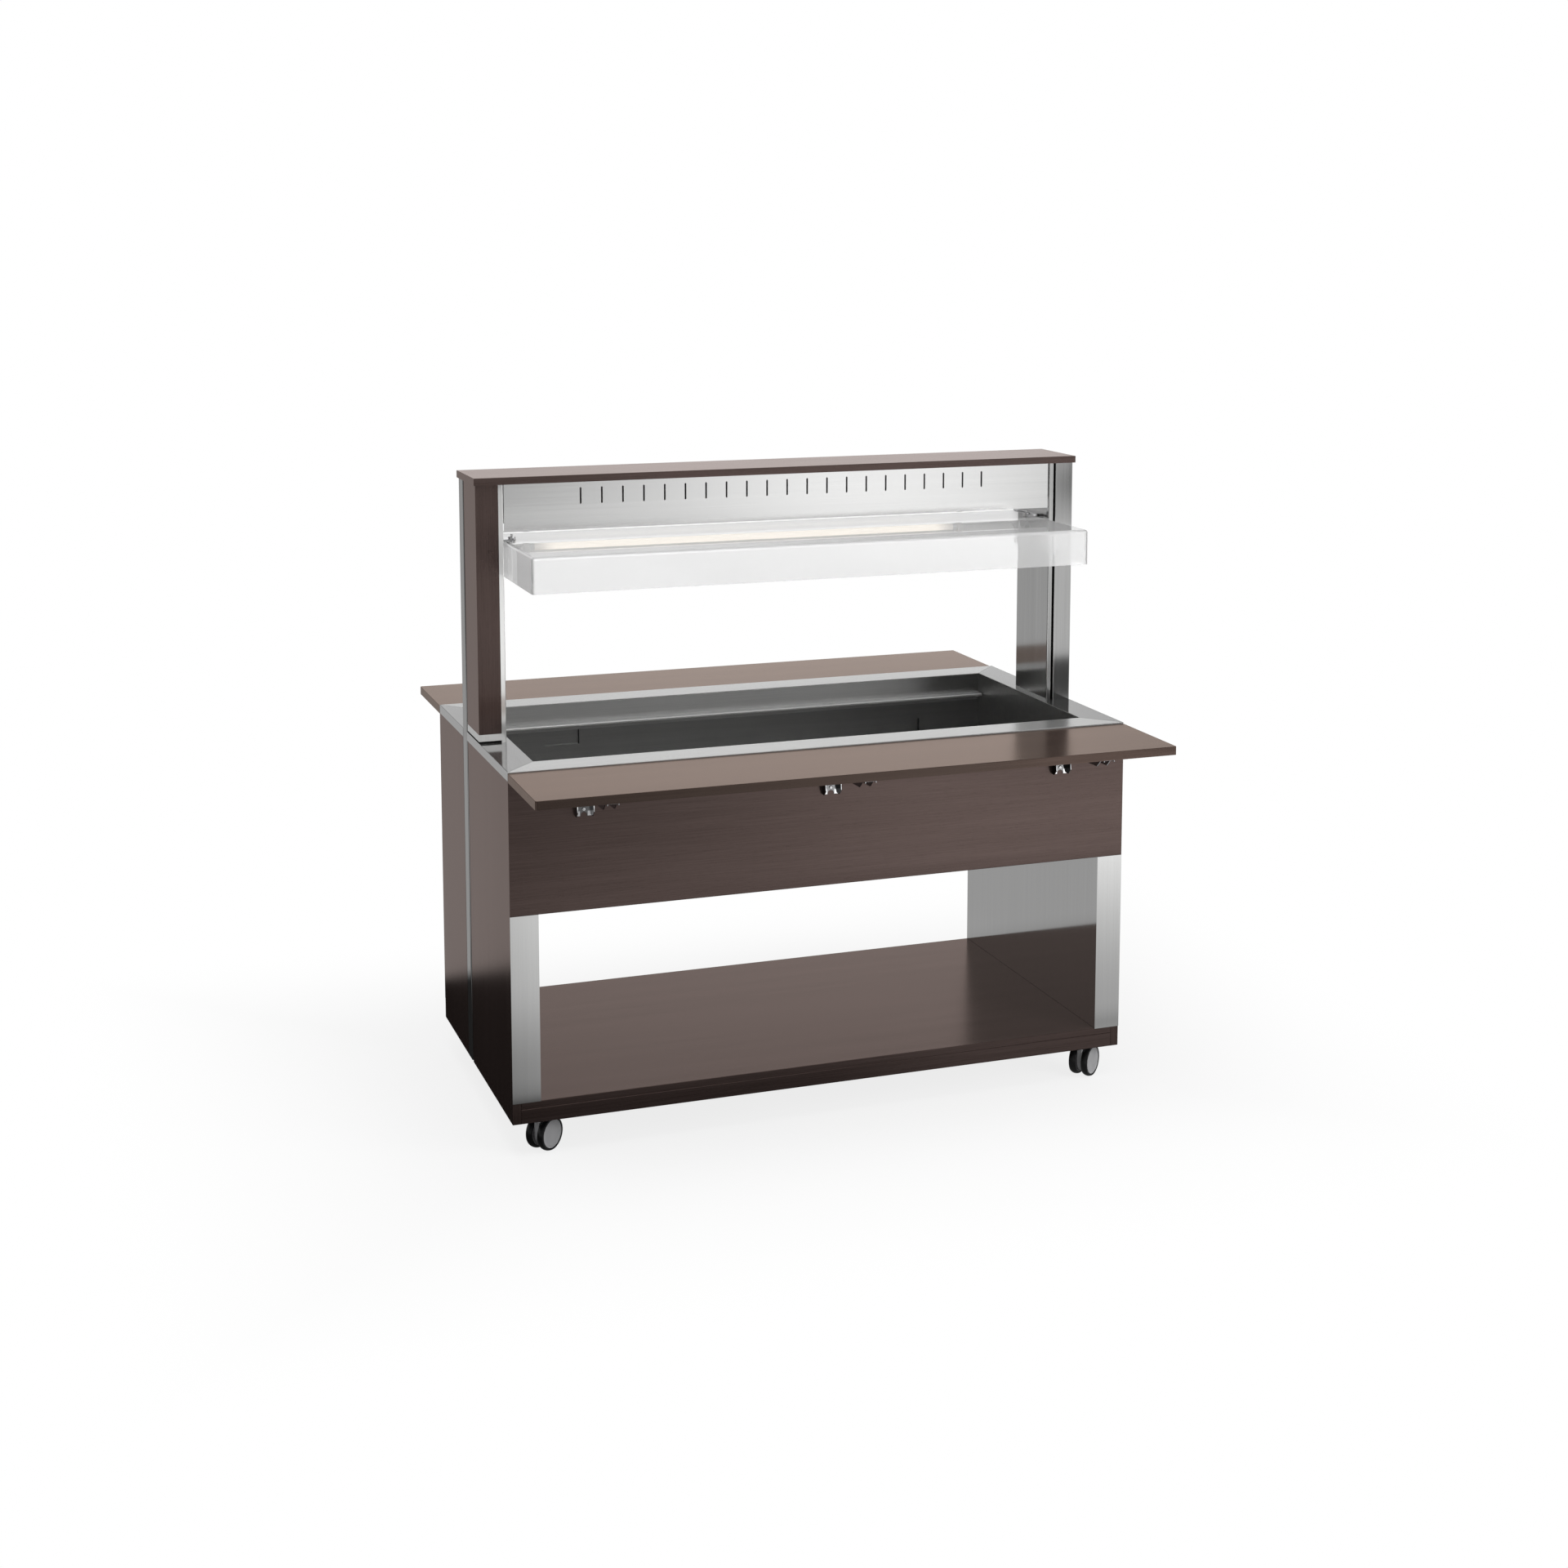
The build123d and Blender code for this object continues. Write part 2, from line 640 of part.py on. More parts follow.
# One bracket arm under the front tray: an inverted channel, deepest just behind its front tongue
with BuildPart() as arm:
    with BuildSketch(Plane.YZ) as arm_profile:
        with BuildLine():
            heel_y = -hinge_y + arm_heel
            tip_y = -hinge_y - arm_reach
            deepest = (-hinge_y - arm_deepest, tray_under - arm_drop)
            Polyline(
                (heel_y, hinge_z),
                (heel_y, tray_under),
                (tip_y, tray_under),
                (tip_y, tray_under - tongue_height),
                (tip_y + tongue_length, tray_under - tongue_height),
                deepest,
                (-hinge_y, hinge_z - arm_heel),
            )
            CenterArc((-hinge_y, hinge_z), arm_heel, -90, 90)
        make_face()
        fillet(arm_profile.vertices().sort_by_distance(deepest)[0], radius=arm_nose)
    extrude(amount=arm_width / 2, both=True)
    with BuildSketch(Plane.XY.offset(tray_under - bracket_sheet)):
        with Locations((0, -hinge_y)):
            Rectangle(arm_width - 2 * bracket_sheet, 3 * arm_reach)
    extrude(amount=-60, mode=Mode.SUBTRACT)
    # Bushes that keep the arm in the middle of its leg
    bush_length = (leg_width - arm_width) / 2 - bracket_sheet - bush_gap
    for sign in (-1, 1):
        with BuildSketch(Plane.YZ.offset(sign * arm_width / 2)):
            with Locations((-hinge_y, hinge_z)):
                Circle(bush_radius)
        extrude(amount=sign * bush_length)
    with BuildSketch(Plane.YZ):
        with Locations((-hinge_y, hinge_z)):
            Circle(hinge_radius + hinge_play)
    extrude(amount=leg_width, both=True, mode=Mode.SUBTRACT)

# One hinge pin with a flat head on each side of the leg
with BuildPart() as hinge_pin:
    with BuildSketch(Plane.YZ):
        with Locations((-hinge_y, hinge_z)):
            Circle(hinge_radius)
    extrude(amount=leg_width / 2 + 2, both=True)
    for sign in (-1, 1):
        with BuildSketch(Plane.YZ.offset(sign * leg_width / 2)):
            with Locations((-hinge_y, hinge_z)):
                Circle(hinge_radius + 2)
        extrude(amount=sign * 2)

# Three brackets at the front and three, turned round, at the rear
bracket_spots = GridLocations(bracket_x, 0, 3, 1).locations
front_spots = [spot for spot in bracket_spots]
rear_spots = [spot * Location((0, 0, 0), (0, 0, 180)) for spot in bracket_spots]

with BuildPart() as tray_legs:
    with Locations(front_spots + rear_spots):
        add(leg.part)
tray_legs.part.label = "tray_legs"
export_step(tray_legs.part, "parts/tray_legs.step")

with BuildPart() as tray_pins:
    with Locations(front_spots + rear_spots):
        add(hinge_pin.part)
tray_pins.part.label = "tray_pins"
export_step(tray_pins.part, "parts/tray_pins.step")

for face, sign, spots in (("front", -1, front_spots), ("rear", 1, rear_spots)):
    # Wooden tray slide with softened edges
    with BuildPart() as tray:
        with BuildSketch(Plane.XY.offset(tray_under)):
            with Locations((0, sign * (half_depth + tray_gap + tray_depth / 2))):
                Rectangle(length, tray_depth)
        extrude(amount=tray_thickness)
        outer_corners = tray.edges().filter_by(Axis.Z).group_by(Axis.Y)[0 if sign < 0 else -1]
        fillet(outer_corners, radius=tray_corner)
        fillet(tray.faces().sort_by(Axis.Z)[-1].edges(), radius=edge_softening)
    tray.part.label = f"{face}_tray"
    export_step(tray.part, f"parts/{face}_tray.step")

    with BuildPart() as tray_arms:
        with Locations(spots):
            add(arm.part)
    tray_arms.part.label = f"{face}_tray_arms"
    export_step(tray_arms.part, f"parts/{face}_tray_arms.step")

# One castor, built with its swivel axis on Z, its axle along Y and its wheels trailing towards -X
plate_under = shelf_bottom - plate_thickness
with BuildPart() as castor_plate:
    with BuildSketch(Plane.XY.offset(plate_under)):
        RectangleRounded(plate_size, plate_size, 6)
    extrude(amount=plate_thickness)
    with BuildSketch(Plane.XY.offset(plate_under)):
        Circle(barrel_radius + 1)
    extrude(amount=-6, taper=15)
    with BuildSketch(Plane.XY.offset(plate_under)):
        Circle(king_pin_radius)
    extrude(amount=barrel_bottom + 3 - plate_under)

# Housing between the wheels: a rounded web that rises to the swivel barrel
barrel_top = plate_under - 6.5
with BuildPart() as fork:
    with BuildSketch(Plane.XZ):
        with Locations((-castor_trail, wheel_radius)):
            Circle(web_radius)
        with Locations((0, hood_top)):
            Rectangle(2 * barrel_radius - 4, 12, align=(Align.CENTER, Align.MAX))
        make_hull()
    extrude(amount=web_half, both=True)
    fillet(fork.faces().filter_by(Axis.Y).edges(), radius=2)
    with BuildSketch(Plane.XY.offset(barrel_bottom)):
        Circle(barrel_radius)
    extrude(amount=barrel_top - barrel_bottom)
    with BuildSketch(Plane.XY.offset(barrel_bottom + 2)):
        Circle(king_pin_radius + 0.05)
    extrude(amount=barrel_top - barrel_bottom, mode=Mode.SUBTRACT)
    with BuildSketch(Plane.XZ):
        with Locations((-castor_trail, wheel_radius)):
            Circle(axle_radius)
    extrude(amount=2 * web_half, both=True, mode=Mode.SUBTRACT)

with BuildPart() as axle:
    with BuildSketch(Plane.XZ):
        with Locations((-castor_trail, wheel_radius)):
            Circle(axle_radius)
    extrude(amount=axle_half, both=True)

# Wheel profiles are drawn outwards along Y and upwards along Z, and turned round the axle
wheel_plane = Plane(origin=(-castor_trail, 0, wheel_radius), x_dir=(0, 1, 0), z_dir=(1, 0, 0))
wheel_axis = Axis((-castor_trail, 0, wheel_radius), (0, 1, 0))

with BuildPart() as wheel_core:
    with BuildSketch(wheel_plane):
        with BuildLine():
            Polyline(
                (axle_half + 0.3, 0),
                (axle_half + 0.3, axle_radius + 0.05),
                (wheel_inner - 0.5, axle_radius + 0.05),
                (wheel_inner - 0.5, 10),
                (wheel_inner + 3, 10),
                (wheel_inner + 3, rim_radius - 4),
                (wheel_inner + 0.5, rim_radius - 4),
                (wheel_inner + 0.5, rim_radius),
                (wheel_outer - 0.5, rim_radius),
                (wheel_outer - 0.5, rim_radius - 2),
                (wheel_outer - 1.2, rim_radius - 3),
                (wheel_outer - 1.2, 0),
                close=True,
            )
        make_face()
    revolve(axis=wheel_axis)

with BuildPart() as tyre:
    with BuildSketch(wheel_plane):
        with BuildLine():
            Line((wheel_inner, rim_radius), (wheel_inner, wheel_radius - tyre_crown))
            ThreePointArc(
                (wheel_inner, wheel_radius - tyre_crown),
                ((wheel_inner + wheel_outer) / 2, wheel_radius),
                (wheel_outer, wheel_radius - tyre_crown),
            )
            Line((wheel_outer, wheel_radius - tyre_crown), (wheel_outer, rim_radius))
            Line((wheel_outer, rim_radius), (wheel_inner, rim_radius))
        make_face()
    revolve(axis=wheel_axis)

with BuildPart() as castor_plates:
    with GridLocations(2 * castor_x, 2 * castor_y, 2, 2):
        add(castor_plate.part)
castor_plates.part.label = "castor_plates"
export_step(castor_plates.part, "parts/castor_plates.step")

# The four castors all stand turned the same way, as they trail when the trolley is pushed
turn_over = Location((-castor_trail, 0, 0)) * Location((0, 0, 0), (0, 0, 180)) * Location((castor_trail, 0, 0))
for corner, side_x, side_y in corners:
    spot = Location((side_x * castor_x, side_y * castor_y, 0), (0, 0, castor_turn))
    for piece, name in ((fork.part, "fork"), (axle.part, "axle")):
        with BuildPart() as swivelling:
            with Locations(spot):
                add(piece)
        swivelling.part.label = f"castor_{corner}_{name}"
        export_step(swivelling.part, f"parts/castor_{corner}_{name}.step")
    for wheel, place in (("inner", spot), ("outer", spot * turn_over)):
        with BuildPart() as core:
            with Locations(place):
                add(wheel_core.part)
        core.part.label = f"castor_{corner}_{wheel}_wheel"
        export_step(core.part, f"parts/castor_{corner}_{wheel}_wheel.step")
        with BuildPart() as tread:
            with Locations(place):
                add(tyre.part)
        tread.part.label = f"castor_{corner}_{wheel}_tyre"
        export_step(tread.part, f"parts/castor_{corner}_{wheel}_tyre.step")
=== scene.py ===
"""Finishes, small fittings, studio and camera for the buffet trolley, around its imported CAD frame."""

import logging
import math
from collections.abc import Callable
from dataclasses import dataclass
from enum import Enum

import bpy
from mathutils import Matrix, Vector


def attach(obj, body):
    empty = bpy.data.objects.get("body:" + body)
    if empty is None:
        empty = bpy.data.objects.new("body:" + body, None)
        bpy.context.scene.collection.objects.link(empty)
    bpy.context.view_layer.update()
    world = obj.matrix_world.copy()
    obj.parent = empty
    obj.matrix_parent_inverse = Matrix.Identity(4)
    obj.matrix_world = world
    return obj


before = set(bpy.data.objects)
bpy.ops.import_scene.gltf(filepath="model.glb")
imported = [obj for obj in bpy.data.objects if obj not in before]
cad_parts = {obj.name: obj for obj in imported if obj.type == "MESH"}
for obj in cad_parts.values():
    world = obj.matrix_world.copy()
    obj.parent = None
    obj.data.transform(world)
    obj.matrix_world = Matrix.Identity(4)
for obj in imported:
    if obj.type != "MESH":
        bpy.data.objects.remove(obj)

Colour = tuple[float, float, float]
Point = tuple[float, float, float]
Pair = tuple[float, float]

BLACK: Colour = (0.0, 0.0, 0.0)
WHITE: Colour = (1.0, 1.0, 1.0)
UP: Point = (0.0, 0.0, 1.0)
DOWN: Point = (0.0, 0.0, -1.0)
BOTH_WAYS: Pair = (-1.0, 1.0)
SMOOTH_ANGLE = math.radians(35)

# The part of its normal along Z that an end face has at least, and a side face at most
END_NORMAL = 0.9
SIDE_NORMAL = 0.1

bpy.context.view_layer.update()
log = logging.getLogger("buffet_trolley")


def tinted(colour: Colour, factor: float) -> Colour:
    """Give a colour made lighter or darker, each channel up to 1."""
    return tuple(min(1.0, channel * factor) for channel in colour)


class Direction(Enum):
    """The way that a grain or a brush mark runs."""

    LENGTHWISE = 0
    CROSSWISE = 1
    UPRIGHT = 2

    def stretch(self, along: float, across: float) -> Point:
        """Give a texture scale that is `along` this direction and `across` the other two."""
        return tuple(along if axis == self.value else across for axis in range(3))


class Side(Enum):
    """A long side of the trolley, with the way it faces along Y."""

    FRONT = -1
    REAR = 1

    @property
    def word(self) -> str:
        """The side's name as the CAD bodies and nodes use it."""
        return self.name.lower()


class Value:
    """A number that varies over a surface: Python operators on it add Math nodes."""

    def __init__(self, shader: "Shader", socket: bpy.types.NodeSocket) -> None:
        """Wrap an output socket of the shader's node tree."""
        self.shader = shader
        self.socket = socket

    def _math(self, operation: str, first: object, second: object) -> "Value":
        """Add one Math node that works on two values or numbers."""
        made = self.shader.node("ShaderNodeMath", {"operation": operation}, {0: first, 1: second})
        return Value(self.shader, made.outputs[0])

    def __add__(self, other: object) -> "Value":
        """Add."""
        return self._math("ADD", self, other)

    __radd__ = __add__

    def __sub__(self, other: object) -> "Value":
        """Take away."""
        return self._math("SUBTRACT", self, other)

    def __rsub__(self, other: object) -> "Value":
        """Take this from a number."""
        return self._math("SUBTRACT", other, self)

    def __mul__(self, other: object) -> "Value":
        """Multiply."""
        return self._math("MULTIPLY", self, other)

    __rmul__ = __mul__

    def __truediv__(self, other: object) -> "Value":
        """Divide."""
        return self._math("DIVIDE", self, other)

    def __rtruediv__(self, other: object) -> "Value":
        """Divide a number by this."""
        return self._math("DIVIDE", other, self)

    def __gt__(self, other: object) -> "Value":
        """Give 1 where this is the greater, else 0."""
        return self._math("GREATER_THAN", self, other)

    def __lt__(self, other: object) -> "Value":
        """Give 1 where this is the lesser, else 0."""
        return self._math("LESS_THAN", self, other)

    def __abs__(self) -> "Value":
        """Drop the sign."""
        return self._math("ABSOLUTE", self, 0.0)

    def most(self, other: object) -> "Value":
        """Give the greater of the two."""
        return self._math("MAXIMUM", self, other)


@dataclass(frozen=True)
class Ease:
    """A smooth change of level: `start` up to the measure `low`, and `end` from the measure `high` on."""

    low: float
    high: float
    start: float = 0.0
    end: float = 1.0

    def of(self, measure: Value) -> Value:
        """Give the level that goes with a measure.

        Args:
            measure: What the level depends on.

        Returns:
            The level.
        """
        limits = {"From Min": self.low, "From Max": self.high, "To Min": self.start, "To Max": self.end}
        smooth = {"interpolation_type": "SMOOTHSTEP"}
        made = measure.shader.node("ShaderNodeMapRange", smooth, {"Value": measure, **limits})
        return Value(measure.shader, made.outputs[0])


class Shader:
    """A node tree of a material or the world, with one method that adds any node."""

    def __init__(self, tree: bpy.types.NodeTree) -> None:
        """Work on this node tree."""
        self.tree = tree

    def node(self, kind: str, settings: dict | None = None, inputs: dict | None = None) -> bpy.types.Node:
        """Add a node.

        Args:
            kind: The node's type.
            settings: Its properties, set first. "stops" holds a colour ramp's two places and colours.
            inputs: Values or links for its sockets, by name or number.

        Returns:
            The new node.
        """
        made = self.tree.nodes.new(kind)
        for name, setting in (settings or {}).items():
            if name != "stops":
                setattr(made, name, setting)
                continue
            for stop, (place, colour) in zip(made.color_ramp.elements, setting):
                stop.position = place
                stop.color = (*colour, 1.0)
        for name, value in (inputs or {}).items():
            self.feed(made.inputs[name], value)
        return made

    def feed(self, socket: bpy.types.NodeSocket, value: object) -> None:
        """Link a value or an output to a socket, or set a plain number or colour on it.

        Args:
            socket: The input socket.
            value: What goes into it.
        """
        if isinstance(value, Value):
            self.tree.links.new(value.socket, socket)
        elif isinstance(value, bpy.types.NodeSocket):
            self.tree.links.new(value, socket)
        elif socket.type == "RGBA" and len(value) == 3:
            socket.default_value = (*value, 1.0)
        else:
            socket.default_value = value

    def place(self, coords: str = "Object") -> tuple[Value, Value, Value]:
        """Give the X, Y and Z of a point on the object, or of a direction in the world.

        Args:
            coords: The kind of texture coordinates.

        Returns:
            The three parts.
        """
        whole = self.node("ShaderNodeTexCoord").outputs[coords]
        parts = self.node("ShaderNodeSeparateXYZ", {}, {0: whole})
        return tuple(Value(self, parts.outputs[axis]) for axis in range(3))

    def seen(self) -> Value:
        """Give 1 for what the camera sees, straight or through the clear guard, else 0."""
        path = self.node("ShaderNodeLightPath").outputs
        return Value(self, path["Is Camera Ray"]).most(Value(self, path["Is Transmission Ray"]))

    def mirrored(self) -> Value:
        """Give 1 for what a polished surface mirrors, else 0."""
        return Value(self, self.node("ShaderNodeLightPath").outputs["Is Glossy Ray"])


class Surface(Shader):
    """The node tree of a new material, with its Principled shader."""

    def __init__(self, name: str) -> None:
        """Start a new material.

        Args:
            name: The material's name.
        """
        self.material = bpy.data.materials.new(name)
        self.material.use_nodes = True
        super().__init__(self.material.node_tree)

    def set(self, **sockets: object) -> None:
        """Feed sockets of the Principled shader, named with underscores for spaces."""
        for name, value in sockets.items():
            self.feed(self.tree.nodes["Principled BSDF"].inputs[name.replace("_", " ")], value)

    def noise(self, stretch: Point, detail: float, shift: Point = (0.0, 0.0, 0.0)) -> Value:
        """Add noise on the object's own coordinates.

        Args:
            stretch: How many features per metre there are along X, Y and Z.
            detail: How many finer layers it has.
            shift: Where the pattern starts.

        Returns:
            The noise, about 0.5 on average.
        """
        coords = self.node("ShaderNodeTexCoord").outputs["Object"]
        mapped = self.node("ShaderNodeMapping", {}, {"Vector": coords, "Scale": stretch, "Location": shift})
        layers = {"Vector": mapped.outputs[0], "Scale": 1.0, "Detail": detail}
        made = self.node("ShaderNodeTexNoise", {}, layers)
        return Value(self, made.outputs["Fac"])

    def ramp(self, factor: Value, places: Pair, first: Colour, last: Colour) -> bpy.types.NodeSocket:
        """Turn a value into a colour that goes from the first to the last between two places."""
        stops = list(zip(places, (first, last)))
        return self.node("ShaderNodeValToRGB", {"stops": stops}, {"Fac": factor}).outputs["Color"]

    def mix(self, factor: Value, first: object, second: object) -> bpy.types.NodeSocket:
        """Mix two colours, from the first at 0 to the second at 1."""
        made = self.node("ShaderNodeMix", {"data_type": "RGBA"}, {0: factor, 6: first, 7: second})
        return made.outputs[2]

    def bump(self, height: Value, depth: float, strength: float) -> None:
        """Raise the surface by a height of at most `depth` metres."""
        made = self.node("ShaderNodeBump", {}, {"Height": height, "Distance": depth, "Strength": strength})
        self.set(Normal=made.outputs[0])


@dataclass(frozen=True)
class Streaks:
    """Noise drawn out one way, by how many features per metre it has along that way and across it."""

    along: float
    across: float
    detail: float = 2.0
    shift: Point = (0.0, 0.0, 0.0)

    def on(self, surface: Surface, way: Direction) -> Value:
        """Add the streaks to a material."""
        return surface.noise(way.stretch(self.along, self.across), self.detail, self.shift)


@dataclass(frozen=True)
class Speckle:
    """Noise that is alike every way, by how many features per metre it has."""

    fineness: float
    detail: float = 2.0

    def on(self, surface: Surface) -> Value:
        """Add the speckle to a material."""
        return surface.noise((self.fineness, self.fineness, self.fineness), self.detail)


@dataclass(frozen=True)
class Finish:
    """A finish, from which one material is made."""

    name: str

    def material(self) -> bpy.types.Material:
        """Make the material.

        Returns:
            The material.
        """
        surface = Surface(self.name)
        self.paint(surface)
        return surface.material

    def paint(self, surface: Surface) -> None:
        """Feed the material's sockets, which each finish does in its own way."""
        raise NotImplementedError


@dataclass(frozen=True)
class Laminate(Finish):
    """Dark satin wood laminate with a fine grain and, on some pieces, edge bands darkened with painted
    shade.
    """

    grain: Direction
    dark: Colour = (0.045, 0.0295, 0.0265)
    light: Colour = (0.082, 0.0575, 0.0530)
    tones: Pair = (0.30, 0.66)
    gloss: float = 1.0
    pearl: float = 0.5
    pearl_tint: Colour = (1.0, 0.77, 0.695)
    figure: Streaks = Streaks(0.9, 26.0, 3.0)
    fibres: Streaks = Streaks(5.0, 420.0, 3.0, (3.1, 1.7, 5.3))
    pores: Streaks = Streaks(55.0, 1300.0, 1.0, (0.7, 4.1, 2.9))
    pore_edge: Ease = Ease(0.58, 0.70)
    figure_tone: float = 0.45
    fibre_tone: float = 0.55
    pore_tone: float = 0.12
    roughness: float = 0.17
    fibre_roughness: float = 0.08
    pore_roughness: float = 0.02
    fibre_height: float = 0.6
    pore_height: float = 0.2
    relief: Pair = (0.00004, 0.4)
    # Edge bands beyond this Y get painted shade, half dark up to X 0.15 and none from X 0.60 on.
    band_from: float | None = None
    band_dark: Ease = Ease(0.15, 0.60, 0.5, 0.0)

    def paint(self, surface: Surface) -> None:
        """Paint the material: figure, fibres, short dark pores, a warm pearly varnish and painted shade on
        the edge bands.

        Args:
            surface: The material's nodes.
        """
        surface.set(Metallic=self.pearl, Specular_IOR_Level=self.gloss, Specular_Tint=self.pearl_tint)
        figure = self.figure.on(surface, self.grain)
        fibres = self.fibres.on(surface, self.grain)
        pores = self.pore_edge.of(self.pores.on(surface, self.grain))
        tone = figure * self.figure_tone + fibres * self.fibre_tone - pores * self.pore_tone
        wood = surface.ramp(tone, self.tones, self.dark, self.light)
        surface.set(
            Base_Color=wood if self.band_from is None else self._banded(surface, wood),
            Roughness=fibres * self.fibre_roughness + pores * self.pore_roughness + self.roughness,
        )
        surface.bump(fibres * self.fibre_height - pores * self.pore_height, *self.relief)

    def _banded(self, surface: Surface, wood: bpy.types.NodeSocket) -> bpy.types.NodeSocket:
        """Paint shade on the edge bands, which face outwards along Y: the wood darker, less towards the
        right.
        """
        x, y, _ = surface.place()
        return surface.mix((abs(y) > self.band_from) * self.band_dark.of(x), wood, BLACK)


@dataclass(frozen=True)
class BrushedSteel(Finish):
    """Stainless steel sheet with brush marks that run one way."""

    brush: Direction
    colour: Colour
    roughness: float
    mark: float = 0.05
    scatter: float = 0.06
    mirror: float = 1.0
    fine: Streaks = Streaks(3.0, 900.0, 2.0, (1.3, 0.4, 2.2))
    broad: Streaks = Streaks(1.1, 70.0, 2.0, (0.2, 3.4, 1.1))
    fine_share: float = 0.6
    broad_share: float = 0.4
    tones: Pair = (0.32, 0.68)
    relief: Pair = (0.00003, 0.25)

    def marks(self, surface: Surface, brush: Direction) -> Value:
        """Add the brush marks that run one way: long fine streaks under a broader drift."""
        fine = self.fine.on(surface, brush)
        return fine * self.fine_share + self.broad.on(surface, brush) * self.broad_share

    def paint(self, surface: Surface) -> None:
        """Paint the material from its brush marks."""
        self.finish(surface, self.marks(surface, self.brush))

    def finish(
        self,
        surface: Surface,
        marks: Value,
        polish: Value | None = None,
        dark: Value | None = None,
        mirror: Value | None = None,
    ) -> None:
        """Feed the brush marks to the colour, the roughness and the surface.

        Args:
            surface: The material's nodes.
            marks: The brush marks.
            polish: How much smoother than the sheet a place is.
            dark: How much of the sheet's brightness a place lacks.
            mirror: How much of the light a place mirrors, where that varies.
        """
        darker = tinted(self.colour, 1.0 - 2.0 * self.mark)
        lighter = tinted(self.colour, 1.0 + self.mark)
        sheet = surface.ramp(marks, self.tones, darker, lighter)
        rough = marks * self.scatter + (self.roughness - self.scatter / 2)
        surface.set(
            Metallic=self.mirror if mirror is None else mirror,
            Base_Color=sheet if dark is None else surface.mix(dark, sheet, BLACK),
            Roughness=rough if polish is None else rough - polish,
        )
        surface.bump(marks, *self.relief)


@dataclass(frozen=True)
class MitredSteel(BrushedSteel):
    """Brushed counter whose end strips are brushed across and polished, up to mitred corners, with painted
    shade on top.
    """

    well: Pair = (0.651, 0.283)
    edge: Pair = (0.725, 0.362)
    top_x: float = 0.7245
    end_polish: float = 0.15
    end_dark: float = 0.6

    def paint(self, surface: Surface) -> None:
        """Paint the material with the marks turned on the two end strips, which get painted shade on top.

        Args:
            surface: The material's nodes.
        """
        x, y, _ = surface.place()
        out_x = (abs(x) - self.well[0]) / (self.edge[0] - self.well[0])
        out_y = (abs(y) - self.well[1]) / (self.edge[1] - self.well[1])
        on_end = out_x > out_y
        along = self.marks(surface, Direction.LENGTHWISE)
        across = self.marks(surface, Direction.CROSSWISE)
        marks = along * (1 - on_end) + across * on_end
        on_top = abs(x) < self.top_x
        # The tops of the end strips are mixed towards black: painted shade.
        self.finish(surface, marks, on_end * self.end_polish, on_end * on_top * self.end_dark)


@dataclass(frozen=True)
class WellSteel(BrushedSteel):
    """Brushed well steel, satin along the front and rear rims above the pan ledges."""

    ledge: float = 0.806
    rim_y: float = 0.27
    satin: Ease = Ease(0.44, 0.56, 0.60, 0.0)
    pocket_y: Pair = (0.2835, 0.2908)
    pocket_dark: float = 0.75

    def paint(self, surface: Surface) -> None:
        """Paint the material: satin rims up to a polished end, and painted shade on the sides of the wall's
        pockets.

        Args:
            surface: The material's nodes.
        """
        x, y, z = surface.place()
        above = z > self.ledge
        # Painted shade on the sides of the pockets in the rear wall, below the ledge.
        pocket = (y > self.pocket_y[0]) * (y < self.pocket_y[1]) * (1 - above)
        rim = above * (abs(y) > self.rim_y)
        marks = self.marks(surface, self.brush)
        self.finish(surface, marks, dark=pocket * self.pocket_dark, mirror=1 - rim * self.satin.of(x))


@dataclass(frozen=True)
class FootSteel(BrushedSteel):
    """Brushed post foot whose recessed neck, in the gap above the counter, is painted nearly black as shade.
    """

    seal_top: float = 0.8597
    seal_dark: float = 0.985
    seal_dull: float = 0.4

    def paint(self, surface: Surface) -> None:
        """Paint the material with painted shade, dark and dull, below the top of the gap.

        Args:
            surface: The material's nodes.
        """
        _, _, z = surface.place()
        # Below this height the foot is painted nearly black and mirrors less: painted shade for the gap.
        in_shade_gap = z < self.seal_top
        marks = self.marks(surface, self.brush)
        bare = (1 - in_shade_gap) * self.mirror
        self.finish(surface, marks, in_shade_gap * -self.seal_dull, in_shade_gap * self.seal_dark, bare)


@dataclass(frozen=True)
class Plating(Finish):
    """Bright chrome or zinc plating, faintly uneven."""

    colour: Colour = (0.78, 0.78, 0.79)
    roughness: float = 0.06
    haze: Speckle = Speckle(60.0, 4.0)
    haze_tones: Pair = (0.35, 0.75)
    haze_dull: float = 0.86
    haze_roughness: float = 0.12

    def paint(self, surface: Surface) -> None:
        """Paint the material with handling haze.

        Args:
            surface: The material's nodes.
        """
        haze = self.haze.on(surface)
        duller = tinted(self.colour, self.haze_dull)
        surface.set(
            Metallic=1.0,
            Base_Color=surface.ramp(haze, self.haze_tones, self.colour, duller),
            Roughness=haze * self.haze_roughness + self.roughness,
        )


